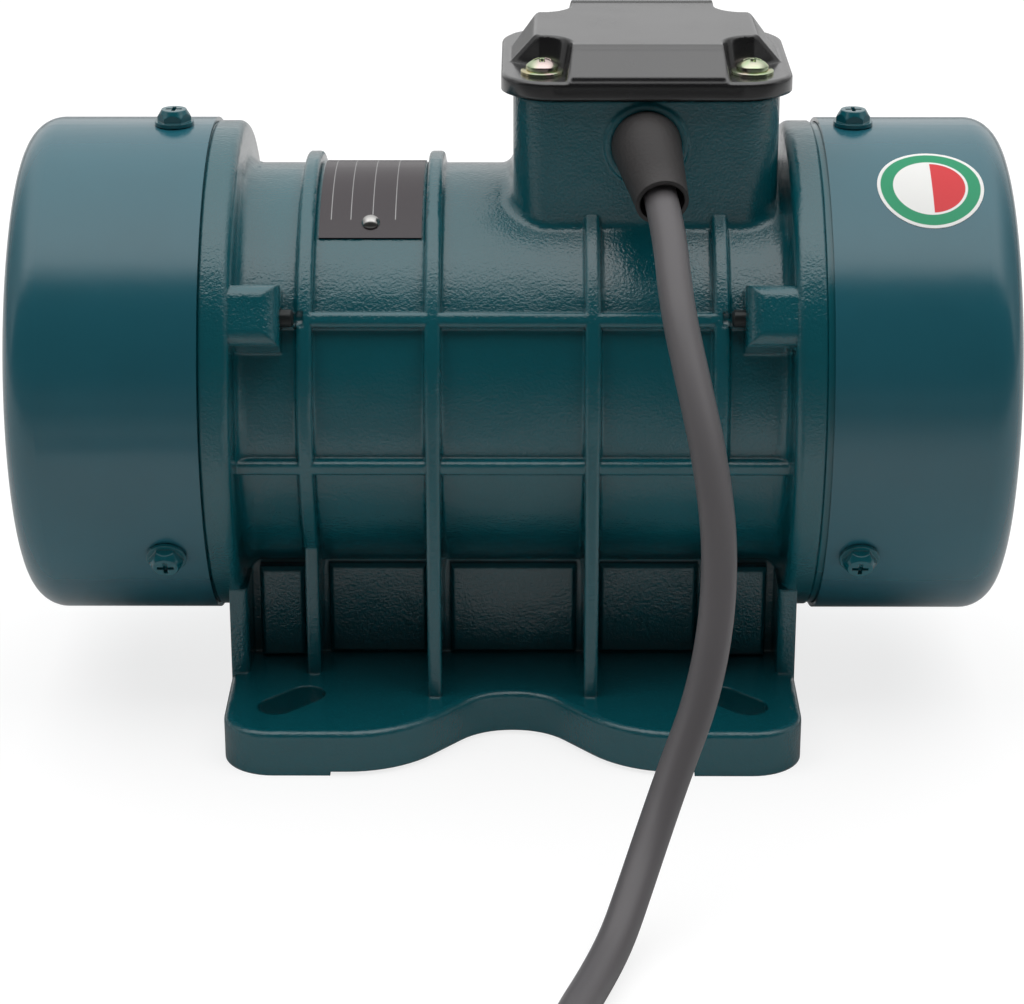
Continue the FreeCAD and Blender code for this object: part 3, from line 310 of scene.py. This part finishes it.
# %% [markdown]
# ## Plastics and rubber
#
# The lid is moulded black plastic with a satin skin. Boot, cord, seal and plug are dark rubber, duller
# and a little greyer, with a very fine grain. One dark colour could serve them all, but they would
# look like one lump. So each gets its own depth and roughness, and the roughness drifts a little over
# the surface, as it does on moulded pieces that have been handled.


# %% Plastics and rubber
ROUGHNESS_DRIFT = 0.04


def moulded(name, colour, roughness, grain, scale=1500.0, coat=0.0, edge=0.0, skin=1.6):
    """Moulded plastic or rubber: a colour in faint clouds, a fine grain, and a skin where coat is 1."""
    shade = Shade(name)
    cloud = shade.noise(45.0, 2.0)
    shade.link(shade.mix(cloud, colour, tuple(c * 0.75 for c in colour)), "Base Color")
    handled = shade.remap(shade.noise(90.0, 2.0), 0.3, 0.7,
                          roughness - ROUGHNESS_DRIFT, roughness + ROUGHNESS_DRIFT)
    shade.link(handled, "Roughness")
    shade.set(IOR=1.5, Coat_Weight=coat, Coat_IOR=skin, Coat_Roughness=max(0.05, roughness - 0.06))
    shade.bumps((shade.noise(scale, 2.0), grain), edge=edge)
    return shade.material


lid_plastic = moulded("lid_plastic", (0.008, 0.008, 0.009), 0.24, grain=0.000004, coat=1.0, edge=0.0008,
                      skin=2.0)
seal_rubber = moulded("seal_rubber", (0.012, 0.012, 0.013), 0.55, grain=0.00002)
boot_rubber = moulded("boot_rubber", (0.040, 0.037, 0.037), 0.55, grain=0.00010, scale=1100.0, edge=0.0006)
cord_rubber = moulded("cord_rubber", (0.130, 0.123, 0.128), 0.32, grain=0.000012)
terminal_plastic = moulded("terminal_plastic", (0.62, 0.60, 0.53), 0.45, grain=0.00001)
capacitor_case = moulded("capacitor_case", (0.012, 0.012, 0.014), 0.35, grain=0.00001)
lead_sleeve = moulded("lead_sleeve", (0.35, 0.02, 0.015), 0.50, grain=0.00001)

print("plastics and rubbers:", dress([
    (lid_plastic, ["box_lid"]),
    (seal_rubber, ["box_gasket"]),
    (boot_rubber, ["strain_relief"]),
    (cord_rubber, ["cord", "cord_coil", "cord_end", "supply_tail", "plug_body"]),
    (terminal_plastic, ["terminal_block"]),
    (capacitor_case, ["capacitor"]),
    (lead_sleeve, ["stator_leads"]),
]))

# %% [markdown]
# ## Nameplate and sticker
#
# The plate over the barrel is black anodised sheet with bare ruled lines and nothing else on it. The
# sticker is a round white film with a green ring and a red half disc. Such a print could be an image on
# an unwrapped sheet. Both patterns are so plain that the shader draws them from the place of each point
# on the piece, which keeps their edges crisp from close by.


# %% Nameplate
AXIS_Z = 77 * MM
RULED_AT = (-42.5, -37.9, -32.8, -27.5)  # millimetres along the shaft
LINE_HALF, LINE_EDGE = 0.06 * MM, 0.13 * MM
LINE_STOPS = math.radians(28.6), math.radians(28.9)


def plate_finish():
    """Black sheet with bright lines ruled along the bend, which stop short of the plate's lower edge.

    The turn round the shaft, from the top, is the arc tangent of depth over height above the shaft.
    """
    shade = Shade("plate_metal")
    axes = shade.add("ShaderNodeSeparateXYZ", {"Vector": shade.place}).outputs
    height = shade.math("SUBTRACT", axes["Z"], AXIS_Z)
    turn = shade.math("ARCTAN2", shade.math("ABSOLUTE", axes["Y"]), height)
    inside = shade.remap(turn, *LINE_STOPS, 1.0, 0.0)
    line = None
    for middle in RULED_AT:
        offset = shade.math("ABSOLUTE", shade.math("SUBTRACT", axes["X"], middle * MM))
        stroke = shade.remap(offset, LINE_HALF, LINE_EDGE, 1.0, 0.0)
        line = stroke if line is None else shade.math("MAXIMUM", line, stroke)
    line = shade.math("MULTIPLY", line, inside)
    shade.link(shade.mix(line, (0.020, 0.013, 0.017), (0.42, 0.42, 0.42)), "Base Color")
    shade.link(shade.math("MULTIPLY", line, 0.8), "Metallic")
    shade.set(Roughness=0.24, IOR=1.72)
    shade.bumps((shade.noise(60.0, 2.0), 0.0001), (shade.noise(1500.0, 2.0), 0.000004))
    return shade.material


print("plate:", dress([(plate_finish(), ["rating_plate"])]), "- ruled lines", len(RULED_AT))

# %% Sticker
STICKER_TURN = math.radians(61.5)  # from the top of the cover to the middle of the sticker
RING_OUTER, RING_INNER, DISC_R, RED_FROM = 11.45, 8.55, 7.95, 0.3  # millimetres
PRINT_EDGE = 0.15  # millimetres over which one colour gives way to the next
WHITE_INK, GREEN_INK, RED_INK = (0.80, 0.80, 0.78), (0.005, 0.27, 0.12), (0.62, 0.022, 0.03)


def sticker_finish():
    """White film: a green ring, a white disc, and a red segment on one half of it.

    Across is the distance from the middle along the shaft, up is the distance in the sticker's plane
    square to it, and the radius is the square root of the sum of their squares.
    """
    shade = Shade("sticker_film")
    low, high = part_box("round_sticker")
    centre = (low + high) / 2
    axes = shade.add("ShaderNodeSeparateXYZ", {"Vector": shade.place}).outputs
    across = shade.math("SUBTRACT", axes["X"], centre.x)
    raised = shade.math("MULTIPLY", shade.math("SUBTRACT", axes["Z"], AXIS_Z), math.cos(STICKER_TURN))
    outward = shade.math("MULTIPLY", axes["Y"], math.sin(STICKER_TURN))
    up = shade.math("ADD", raised, outward)
    squares = shade.math("ADD", shade.math("POWER", across, 2.0), shade.math("POWER", up, 2.0))
    radius = shade.math("SQRT", squares)

    def within(limit):
        """1 inside the limit, 0 beyond it."""
        return shade.remap(radius, limit * MM, (limit + PRINT_EDGE) * MM, 1.0, 0.0)

    def beyond(value, limit):
        """0 up to the limit, 1 beyond it."""
        return shade.remap(value, limit * MM, (limit + PRINT_EDGE) * MM, 0.0, 1.0)

    ring = shade.math("MULTIPLY", within(RING_OUTER), beyond(radius, RING_INNER))
    red_half = shade.math("MULTIPLY", within(DISC_R), beyond(across, RED_FROM))
    colour = shade.mix(red_half, shade.mix(ring, WHITE_INK, GREEN_INK), RED_INK)
    shade.link(colour, "Base Color")
    shade.set(Roughness=0.32)
    shade.bumps((shade.noise(200.0, 2.0), 0.00002))
    return shade.material


print("sticker:", dress([(sticker_finish(), ["round_sticker"])]))

# %% [markdown]
# ## The lid and its screws
#
# The lid is one moulding: a flat rim, a crown with sloping sides, and an open pocket for the screw at each
# corner. It could be cut from a box and bevelled, but bevels break where three slopes meet a pocket. Its
# soft edges are what catches the light, so here it is one height over the plan: every plane of the lid is
# a formula, and a soft minimum of two planes is the rounded edge between them. The plan is a rounded
# rectangle, and the rows of the grid become shorter in its corners.

# %% Rounded edges between two heights
LID_X = 31.0  # the lid's middle along the shaft; this and all lengths of the lid are millimetres
LID_HALF_W, LID_HALF_D, LID_CORNER = 33.8, 28.2, 12.0
LID_BASE, LID_RIM = 150.0, 154.0
RIM_EDGE = 0.9


def soft_min(a, b, soft):
    """The lower of two heights, blended over a span of soft where they cross.

    A straight blend of the two by their share, less soft times the share times one less the share.
    """
    share = np.clip(0.5 + 0.5 * (b - a) / soft, 0.0, 1.0)
    return b * (1 - share) + a * share - soft * share * (1 - share)


def soft_max(a, b, soft):
    """The higher of two heights, blended in the same way; equal heights come out soft / 4 higher."""
    return -soft_min(-a, -b, soft)


def smooth(value, low, high):
    """0 below low, 1 above high, and between them the share squared times three less two shares."""
    share = np.clip((value - low) / (high - low), 0.0, 1.0)
    return share * share * (3 - 2 * share)


print("lid plan, mm:", 2 * LID_HALF_W, "x", 2 * LID_HALF_D)


# %% Crown of the lid
TOP_FRONT, TOP_RISE = (-20.7, 161.2), 0.8 / 43.5  # the top's front edge (y, z) and its rise to the back
FRONT_SLOPE, BACK_SLOPE, SIDE_SLOPE = 1.0, 1.55, 1.25
END_FOOT, SIDE_FOOT = (27.9, LID_RIM), (32.2, 153.5)  # distance from the lid's middle, height
PANEL_HALF_W, PANEL_TOP, PANEL_FOOT, PANEL_PROUD = 18.0, 21.6, 27.5, 0.35
SLOPE_SOFT, TOP_SOFT = 1.2, 0.8


def crown_height(x, y):
    """The lowest of the top plane and four side planes; the front panel stands proud of its slope.

    A side plane is as high as its foot, plus its slope times the distance in from that foot.
    """
    across, deep = np.abs(x - LID_X), np.abs(y)
    top = TOP_FRONT[1] + TOP_RISE * (y - TOP_FRONT[0])
    steep = np.where(y < 0, FRONT_SLOPE, BACK_SLOPE)
    slope = soft_min(END_FOOT[1] + (END_FOOT[0] - deep) * steep,
                     SIDE_FOOT[1] + (SIDE_FOOT[0] - across) * SIDE_SLOPE, SLOPE_SOFT)
    panel = smooth(PANEL_HALF_W - across, 0.0, 0.5)
    panel = panel * smooth(deep, PANEL_TOP, PANEL_TOP + 0.4) * smooth(PANEL_FOOT - deep, 0.0, 0.4)
    return soft_min(top, slope, TOP_SOFT) + PANEL_PROUD * panel


print("crown over the middle, mm:", round(float(crown_height(LID_X, 0.0)), 2))

# %% Pockets and rim
POCKET_X, POCKET_Y, POCKET_CORNER, POCKET_WALL = 18.8, 13.2, 5.5, 5.0
DRAWN_FROM, DRAWN_BY = 24.8, 0.87
POCKET_SOFT, FLOOR_SOFT, RIM_SOFT = 1.4, 0.8, 0.4


def pocket_height(x, y):
    """Steep walls round a corner of the plan, down to the rim.

    The distance behind the pocket's walls is measured to two straight lines and, at its inner corner, to
    a circle of radius POCKET_CORNER, and the wall rises POCKET_WALL times as much. The front and back
    walls draw in towards the lid's sides.
    """
    across, deep = np.abs(x - LID_X), np.abs(y)
    drawn_in = DRAWN_BY * np.maximum(across - DRAWN_FROM, 0.0)
    wall_x = POCKET_CORNER - (across - POCKET_X)
    wall_y = POCKET_CORNER - (deep - (POCKET_Y - drawn_in))
    beyond = (np.hypot(np.maximum(wall_x, 0.0), np.maximum(wall_y, 0.0))
              + np.minimum(np.maximum(wall_x, wall_y), 0.0))
    return soft_max(LID_RIM, LID_RIM + POCKET_WALL * (beyond - POCKET_CORNER), FLOOR_SOFT)


def rim_fall(x, y):
    """How far the rim has fallen at its outer edge, along a quarter circle of radius RIM_EDGE.

    The edge is a straight side, or in a corner the corner's radius less the distance from its centre.
    """
    across, deep = np.abs(x - LID_X), np.abs(y)
    corner_x = np.maximum(across - (LID_HALF_W - LID_CORNER), 0.0)
    corner_y = np.maximum(deep - (LID_HALF_D - LID_CORNER), 0.0)
    edge = np.where((corner_x > 0) & (corner_y > 0), LID_CORNER - np.hypot(corner_x, corner_y),
                    np.minimum(LID_HALF_W - across, LID_HALF_D - deep))
    near = np.clip(RIM_EDGE - edge, 0.0, RIM_EDGE)
    return RIM_EDGE - np.sqrt(RIM_EDGE * RIM_EDGE - near * near)


def lid_height(x, y):
    """Height over the plan: the lower of crown and pocket, but never under the rim, less the rim's fall."""
    body = soft_min(crown_height(x, y), pocket_height(x, y), POCKET_SOFT)
    return soft_max(body, LID_RIM, RIM_SOFT) - RIM_SOFT / 4 - rim_fall(x, y)


print("lid over its middle, mm:", round(float(lid_height(LID_X, 0.0)), 2))


# %% Closed meshes from grids
SAME_PLACE = 1e-7  # points nearer than this are joined


def closed_mesh(name, points, faces, material, sharp=35.0):
    """A mesh object at the origin from places in mm: equal places joined, faces outwards, smooth.

    Edges that turn by more than sharp degrees stay sharp.
    """
    mesh = bpy.data.meshes.new(name)
    mesh.from_pydata((points * MM).tolist(), [], faces)
    shell = bmesh.new()
    shell.from_mesh(mesh)
    bmesh.ops.remove_doubles(shell, verts=shell.verts, dist=SAME_PLACE)
    bmesh.ops.recalc_face_normals(shell, faces=shell.faces)
    shell.to_mesh(mesh)
    shell.free()
    mesh.polygons.foreach_set("use_smooth", np.ones(len(mesh.polygons), bool))
    mesh.set_sharp_from_angle(angle=math.radians(sharp))
    mesh.materials.append(material)
    piece = bpy.data.objects.new(name, mesh)
    bpy.context.scene.collection.objects.link(piece)
    return piece


def grid_faces(rows, columns, start=0, closed=False):
    """Quads of a grid whose points run along its rows; closed joins the last column to the first.

    The number of a point is its row times the number of columns, plus its column.
    """
    row = np.arange(rows - 1)[:, None]
    column = np.arange(columns if closed else columns - 1)[None, :]
    after = (column + 1) % columns
    quads = np.stack([row * columns + column, row * columns + after, (row + 1) * columns + after,
                      (row + 1) * columns + column], axis=-1)
    return (quads.reshape(-1, 4) + start).tolist()


print("faces of a grid of 3 by 4 points:", len(grid_faces(3, 4)))


# %% Lid mesh
LID_ROWS, LID_COLUMNS = 241, 301
HOLLOW_W, HOLLOW_D, HOLLOW_TOP = 0.42, 0.60, 159.0  # shares of the outline, and a height


def crowded(steps):
    """Even steps from -1 to 1 moved closer together at both ends: 1.15 s less 0.15 s cubed."""
    return 1.15 * steps - 0.15 * steps ** 3


def lid_mesh():
    """Grid over the plan, then rings from its outline: down the rim, in along the base, up into the hollow.

    A row is as long as the rounded rectangle is wide there: in the corners its half is the straight part
    plus the square root of the corner's radius squared less the distance into the corner squared.
    """
    rows, columns = LID_ROWS, LID_COLUMNS
    y = LID_HALF_D * crowded(np.linspace(-1, 1, rows))
    into = np.maximum(np.abs(y) - (LID_HALF_D - LID_CORNER), 0.0)
    half = LID_HALF_W - LID_CORNER + np.sqrt(np.maximum(LID_CORNER ** 2 - into ** 2, 0.0))
    x = LID_X + half[:, None] * crowded(np.linspace(-1, 1, columns))[None, :]
    y = np.repeat(y[:, None], columns, axis=1)
    top = np.stack([x, y, lid_height(x, y)], axis=-1)
    outline = np.concatenate([top[0, :-1], top[:-1, -1], top[-1, :0:-1], top[:0:-1, 0]])
    rings = []
    for reach_x, reach_y, z in ((1, 1, LID_BASE), (HOLLOW_W, HOLLOW_D, LID_BASE),
                                (HOLLOW_W, HOLLOW_D, HOLLOW_TOP), (0, 0, HOLLOW_TOP)):
        ring = outline.copy()
        ring[:, 0] = LID_X + (ring[:, 0] - LID_X) * reach_x
        ring[:, 1] = ring[:, 1] * reach_y
        ring[:, 2] = z
        rings.append(ring)
    count = len(outline)
    points = np.concatenate([top.reshape(-1, 3), outline] + rings)
    skirt = grid_faces(1 + len(rings), count, rows * columns, closed=True)
    return points, grid_faces(rows, columns) + skirt


lid = closed_mesh("lid_moulding", *lid_mesh(), lid_plastic)
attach(lid, "housing")
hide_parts("box_lid")
print("lid faces:", len(lid.data.polygons))

# %% [markdown]
# ## Screws in the pockets
#
# Each pocket holds a domed screw with a cross recess, on a thick washer. A screw could be a cylinder with
# a cross cut out of it. Turned pieces are simpler as a profile spun round its axis, and the recess is
# made by lowering the points of the dome that lie under the cross, so the mesh stays one clean grid.

# %% Four places for the screws
SCREW_X, SCREW_Y = 24.3, 18.2
SEAT_Z = LID_RIM - RIM_SOFT / 4
screw_spots = [(LID_X + a * SCREW_X, b * SCREW_Y) for a in (-1, 1) for b in (-1, 1)]


def turned_rings(radii, heights, around=72):
    """Points of a surface of revolution about Z: a ring for each pair of radius and height.

    A point of a ring is the radius times the cosine and the sine of its turn, at the ring's height.
    """
    turn = np.linspace(0, 2 * math.pi, around, endpoint=False)
    radii, heights = np.array(radii)[:, None], np.array(heights)[:, None]
    return np.stack([radii * np.cos(turn), radii * np.sin(turn), heights + 0 * turn], axis=-1)


def at_each_screw(rings, seat):
    """The same rings at all four screws, as one list of points and faces."""
    count, around = rings.shape[:2]
    points, faces = [], []
    for x, y in screw_spots:
        start = sum(len(p) for p in points)
        faces += grid_faces(count, around, start, closed=True)
        points.append(rings.reshape(-1, 3) + (x, y, seat))
    return np.concatenate(points), faces


print("screws at, mm:", [(round(x, 1), y) for x, y in screw_spots])

# %% Screws and washers
WASHER_T, WASHER_HOLE, WASHER_R, WASHER_EDGE = 0.9, 2.1, 4.95, 4.7
HEAD_R, THREAD_R, THREAD_END = 3.75, 2.0, -9.0
DOME_R, DOME_DROP, DOME_STEPS = 4.9, 2.2, 34
ARM_HALF, ARM_REACH, RECESS_DEPTH = 0.62, 2.1, 1.1


def arm_depth(off_arm, along_arm):
    """1 on an arm of the cross and 0 off it, with sloping walls and ends."""
    return smooth(ARM_HALF - off_arm, 0.0, 0.25) * smooth(ARM_REACH - along_arm, 0.0, 0.4)


def head_rings():
    """Profile of a screw: a dome, its side, the seat, the thread. The cross is pressed into the dome only.

    The dome's height is the square root of its radius squared less the distance from the axis squared.
    """
    dome = np.linspace(0.0, 3.7, DOME_STEPS)
    radii = np.concatenate([dome, [HEAD_R, HEAD_R, THREAD_R, THREAD_R, 0.0]])
    heights = np.concatenate([np.sqrt(DOME_R ** 2 - dome ** 2) - DOME_DROP,
                              [0.8, 0.0, 0.0, THREAD_END, THREAD_END]])
    rings = turned_rings(radii, heights)
    off_x, off_y = np.abs(rings[..., 0]), np.abs(rings[..., 1])
    recess = np.maximum(arm_depth(off_x, off_y), arm_depth(off_y, off_x))
    recess[DOME_STEPS:] = 0.0
    rings[..., 2] -= RECESS_DEPTH * recess
    return rings


washer_rings = turned_rings(
    [WASHER_HOLE, WASHER_HOLE, WASHER_EDGE, WASHER_R, WASHER_R, WASHER_EDGE, WASHER_HOLE],
    [0.0, WASHER_T, WASHER_T, 0.75, 0.15, 0.0, 0.0])
screws = closed_mesh("lid_screw_set", *at_each_screw(head_rings(), SEAT_Z + WASHER_T), zinc_plate, 50.0)
washers = closed_mesh("lid_washer_set", *at_each_screw(washer_rings, SEAT_Z), zinc_plate, 50.0)
for piece, name in ((screws, "lid_screws"), (washers, "lid_washers")):
    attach(piece, "housing")
    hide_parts(name)
print("faces of screws and washers:", len(screws.data.polygons), len(washers.data.polygons))

# %% [markdown]
# ## The cord
#
# A rubber flex 7.8 mm thick leaves the boot, drops in front of the motor, comes down on the table and
# runs on towards the viewer. The rest of it is put away in a small round coil, two turns wide and two
# turns high, with the plug beside it. A cord could be a rope simulation, or a mesh swept along a path.
# Here the whole cord is one NURBS curve with a round section: its points are where a hand would bend it,
# and the curve runs smoothly between them.

# %% Route of the cord
CORD_D = 7.8 * MM
FLOOR_Z = 3.92  # height of the cord's middle where it lies on the table; the route is in millimetres
BOOT_ROOT = Vector((30.8, -25.5, 138.8))
BOOT_END = Vector((33.8, -45.5, 130.7))
INSIDE_BOOT, OUT_OF_BOOT = 9.0, 8.0
lean = (BOOT_END - BOOT_ROOT).normalized()

free_run = [tuple(BOOT_END - lean * INSIDE_BOOT), tuple(BOOT_END + lean * OUT_OF_BOOT),
            (36.1, -73.0, 115.0), (39.2, -85.0, 102.5), (42.8, -96.0, 88.0), (44.8, -105.5, 72.5),
            (43.9, -114.0, 57.0), (40.5, -121.5, 42.5), (34.7, -129.0, 29.5), (29.8, -137.5, 18.5),
            (25.6, -147.5, 10.5), (21.9, -159.0, 5.8), (17.3, -172.0, FLOOR_Z), (12.1, -187.0, FLOOR_Z),
            (8.0, -204.0, FLOOR_Z), (5.8, -221.0, FLOOR_Z), (4.9, -238.5, FLOOR_Z)]

print("free run:", len(free_run), "points")

# %% Coil
COIL_CENTRE = np.array([-42.0, -256.0])
COIL_R = 43.0
LANE_OUT = np.array([3.95, -3.95, -3.95, 3.95])  # how far each lane lies outside COIL_R
LANE_Z = np.array([FLOOR_Z, FLOOR_Z, 11.75, 11.75])
LANE_CHANGE = 0.72  # share of a turn after which the cord climbs over to its next lane
POINTS_PER_TURN, COIL_DEGREES = 20, 4 * 360 + 125


def coil_points():
    """Turns of the coil as (x, y, z): the radius and the height step from lane to lane of a 2 x 2 bundle.

    The first turn lies outside on the floor, the second inside on the floor, and the next two on top.
    Each point is the centre plus the lane's radius times the cosine and the sine of its turn.
    """
    angles = np.arange(0, COIL_DEGREES + 1e-6, 360 / POINTS_PER_TURN)
    spot = np.clip(angles / 360, 0, 3.999)
    lane = np.minimum(spot.astype(int), 3)
    share = smooth(spot - lane, LANE_CHANGE, 1.0)
    after = np.minimum(lane + 1, 3)
    radius = COIL_R + LANE_OUT[lane] * (1 - share) + LANE_OUT[after] * share
    height = LANE_Z[lane] * (1 - share) + LANE_Z[after] * share
    turn = -np.radians(angles)
    x = COIL_CENTRE[0] + radius * np.cos(turn)
    y = COIL_CENTRE[1] + radius * np.sin(turn)
    return np.column_stack([x, y, height]).tolist()


print("coil:", len(coil_points()), "points")

# %% Last stretch, up to the plug
TAIL_TURN = math.radians(235)
TAIL_RADIUS = COIL_R + 3.9
TAIL_STEPS = ((12.0, 12.3), (24.0, 12.9), (37.0, 13.02), (46.0, 13.02))  # distance run, height

tail_start = COIL_CENTRE + TAIL_RADIUS * np.array([math.cos(TAIL_TURN), math.sin(TAIL_TURN)])
tail_heading = np.array([math.sin(TAIL_TURN), -math.cos(TAIL_TURN)])
tail = [(*(tail_start + tail_heading * reach).tolist(), height) for reach, height in TAIL_STEPS]
print("tail:", len(tail), "points")


# %% Cord
def cord_curve(name, points):
    """One NURBS spline led by the route's points, from the first of them to the last."""
    data = bpy.data.curves.new(name, "CURVE")
    data.dimensions = "3D"
    spline = data.splines.new("NURBS")
    spline.points.add(len(points) - 1)
    for point, place in zip(spline.points, points):
        point.co = (*(c * MM for c in place), 1.0)
    spline.order_u = 3
    spline.use_endpoint_u = True
    spline.resolution_u = 8
    data.bevel_depth = CORD_D / 2
    data.bevel_resolution = 7
    data.use_fill_caps = True
    piece = bpy.data.objects.new(name, data)
    bpy.context.scene.collection.objects.link(piece)
    data.materials.append(cord_rubber)
    return piece


flex = cord_curve("mains_flex", free_run + coil_points() + tail)
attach(flex, "housing")
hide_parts("cord", "cord_coil", "cord_end")
print("cord points:", len(flex.data.splines[0].points))


# %% Length of the cord
def curve_length(piece):
    """Length of a curve's centre line, summed over the polyline that Blender makes of it without bevel."""
    bare = piece.data.copy()
    bare.bevel_depth = 0.0
    bare.use_fill_caps = False
    holder = bpy.data.objects.new("measure", bare)
    mesh = bpy.data.meshes.new_from_object(holder)
    places = np.empty(len(mesh.vertices) * 3)
    mesh.vertices.foreach_get("co", places)
    places = places.reshape(-1, 3)
    bpy.data.objects.remove(holder)
    bpy.data.meshes.remove(mesh)
    bpy.data.curves.remove(bare)
    return float(np.linalg.norm(np.diff(places, axis=0), axis=1).sum())


cord_length = curve_length(flex)
print("cord length, m:", round(cord_length, 3))

# %% [markdown]
# ## Studio
#
# The motor stands on a white table with a large white sheet hung over it, which comes down behind to the
# back of the table and is darker at its sides. In front the room is darker. Gloss paint mirrors exactly
# that: the sheet in its upper part, the dark room at eye level and the table in its lower part. The
# sheet's front edge stands 60 degrees up from the front horizon. It could be a real sheet lit by lamps,
# but then its light and its mirror image would hang on each other. Here the world draws it for mirrors,
# and a lamp left out of mirrors gives its plain light. To the camera the world is plain white.


# %% Nodes of the world
world = bpy.data.worlds.new("studio")
bpy.context.scene.world = world
world.use_nodes = True
sky = world.node_tree
sky.nodes.clear()


def sky_node(kind, inputs, **settings):
    """A new node of the world with its settings and its sockets set or linked; gives its outputs."""
    node = sky.nodes.new(kind)
    for name, value in settings.items():
        setattr(node, name, value)
    for name, value in inputs.items():
        if isinstance(value, bpy.types.NodeSocket):
            sky.links.new(value, node.inputs[name])
        else:
            node.inputs[name].default_value = value
    return node.outputs


def sky_mix(factor, a, b):
    """Value a where factor is 0 and value b where it is 1."""
    return sky_node("ShaderNodeMix", {0: factor, 2: a, 3: b}, data_type="FLOAT")[0]


def sky_math(operation, a, b=0.0):
    """One sum of two values, or of one value where the operation takes one."""
    return sky_node("ShaderNodeMath", {0: a, 1: b}, operation=operation)[0]


def sky_ramp(value, low, high, to_low, to_high):
    """A value between low and high carried to to_low .. to_high along a smooth step, held at its ends."""
    ramp = {"Value": value, "From Min": low, "From Max": high, "To Min": to_low, "To Max": to_high}
    return sky_node("ShaderNodeMapRange", ramp, interpolation_type="SMOOTHSTEP")[0]


print("world nodes ready")

# %% World
SHEET_FRONT_EDGE = math.radians(53), math.radians(67)  # angles over the front horizon
SHEET_FALLOFF = math.radians(62), math.radians(160)
SHEET_SIDES = (0.45, 0.9)  # sideways part of a direction of length 1
SHEET_FRONT, SHEET_BACK, SHEET_SIDE = 1.37, 0.62, 0.35
ROOM_HORIZON = math.radians(-8), math.radians(12)
ROOM_LOW, ROOM_HIGH = 0.20, 0.035
PLAIN_SKY, WHITE_SKY = 0.04, 1.0

heading = sky_node("ShaderNodeSeparateXYZ", {"Vector": sky_node("ShaderNodeTexCoord", {})["Generated"]})
climb = sky_math("ARCTAN2", heading["Z"], sky_math("MULTIPLY", heading["Y"], -1.0))
aside = sky_math("ABSOLUTE", heading["X"])
fading = sky_ramp(climb, *SHEET_FALLOFF, SHEET_FRONT, SHEET_BACK)
overhead = sky_math("MULTIPLY", fading, sky_ramp(aside, *SHEET_SIDES, 1.0, SHEET_SIDE))
room = sky_ramp(climb, *ROOM_HORIZON, ROOM_LOW, ROOM_HIGH)
sheet = sky_mix(sky_ramp(climb, *SHEET_FRONT_EDGE, 0.0, 1.0), room, overhead)
path = sky_node("ShaderNodeLightPath", {})
mirrored = sky_math("MAXIMUM", path["Is Glossy Ray"], path["Is Transmission Ray"])
strength = sky_mix(path["Is Camera Ray"], sky_mix(mirrored, PLAIN_SKY, sheet), WHITE_SKY)
backdrop = sky_node("ShaderNodeBackground", {"Color": (1.0, 1.0, 1.0, 1.0), "Strength": strength})[0]
sky_node("ShaderNodeOutputWorld", {"Surface": backdrop})
print("world ready")


# %% Table
TABLE_HALF = 4.0
MIRROR_FROM, MIRROR_TO = -0.50, -0.20  # stretch in front of the motor over which its mirror image pales
GREY_SEEN, GREY_FRONT, GREY_BACK, GREY_PLAIN = ((c, c, c) for c in (0.24, 0.20, 0.40, 0.74))
GLOW_SEEN, GLOW_PLAIN = 0.80, 0.30


def table_finish():
    """White to the camera away from the motor's shadow, and a paler or darker grey to other rays.

    Gloss paint mirrors a sheet that darkens to the front. Plain light finds it pale and glowing a
    little, which lifts the motor's undersides.
    """
    shade = Shade("table")
    path = shade.add("ShaderNodeLightPath").outputs
    seen = path["Is Camera Ray"]
    depth = shade.add("ShaderNodeSeparateXYZ", {"Vector": shade.place}).outputs["Y"]
    # The grey that only mirrors see darkens towards the front of the table: painted shade in its mirror
    # image.
    sheet = shade.mix(shade.remap(depth, MIRROR_FROM, MIRROR_TO), GREY_FRONT, GREY_BACK)
    plain = shade.mix(path["Is Glossy Ray"], GREY_PLAIN, sheet)
    shade.link(shade.mix(seen, plain, GREY_SEEN), "Base Color")
    shade.set(Roughness=1.0, Specular_IOR_Level=0.0, Emission_Color=(1.0, 1.0, 1.0, 1.0))
    glow = shade.math("ADD", shade.math("MULTIPLY", seen, GLOW_SEEN),
                      shade.math("MULTIPLY", path["Is Diffuse Ray"], GLOW_PLAIN))
    shade.link(glow, "Emission Strength")
    return shade.material


def flat_square(name, half, material):
    """One square face on the floor, with its middle at the origin."""
    mesh = bpy.data.meshes.new(name)
    corners = [(-half, -half, 0.0), (half, -half, 0.0), (half, half, 0.0), (-half, half, 0.0)]
    mesh.from_pydata(corners, [], [(0, 1, 2, 3)])
    mesh.materials.append(material)
    piece = bpy.data.objects.new(name, mesh)
    bpy.context.scene.collection.objects.link(piece)
    return piece


table = flat_square("table", TABLE_HALF, table_finish())
print("table ready")


# %% Lamp
LAMP_SIZE = (2.8, 2.6)
LAMP_SPOT, LAMP_AIM = (0.0, 0.65, 1.25), (0.0, 0.65, 0.0)
LAMP_RADIANCE = 2.25


def softbox(name, size, place, aim, radiance):
    """A rectangular area lamp, left out of mirrors, where the world draws the sheet.

    Its power is pi times its area times its radiance.
    """
    data = bpy.data.lights.new(name, "AREA")
    data.shape = "RECTANGLE"
    data.size, data.size_y = size
    data.energy = math.pi * size[0] * size[1] * radiance
    lamp = bpy.data.objects.new(name, data)
    lamp.location = place
    lamp.rotation_euler = (Vector(aim) - Vector(place)).to_track_quat("-Z", "Y").to_euler()
    lamp.visible_glossy = False
    lamp.visible_camera = False
    bpy.context.scene.collection.objects.link(lamp)
    return lamp


lamp = softbox("sheet_light", LAMP_SIZE, LAMP_SPOT, LAMP_AIM, LAMP_RADIANCE)
print("lamp of", round(lamp.data.energy, 1), "W")
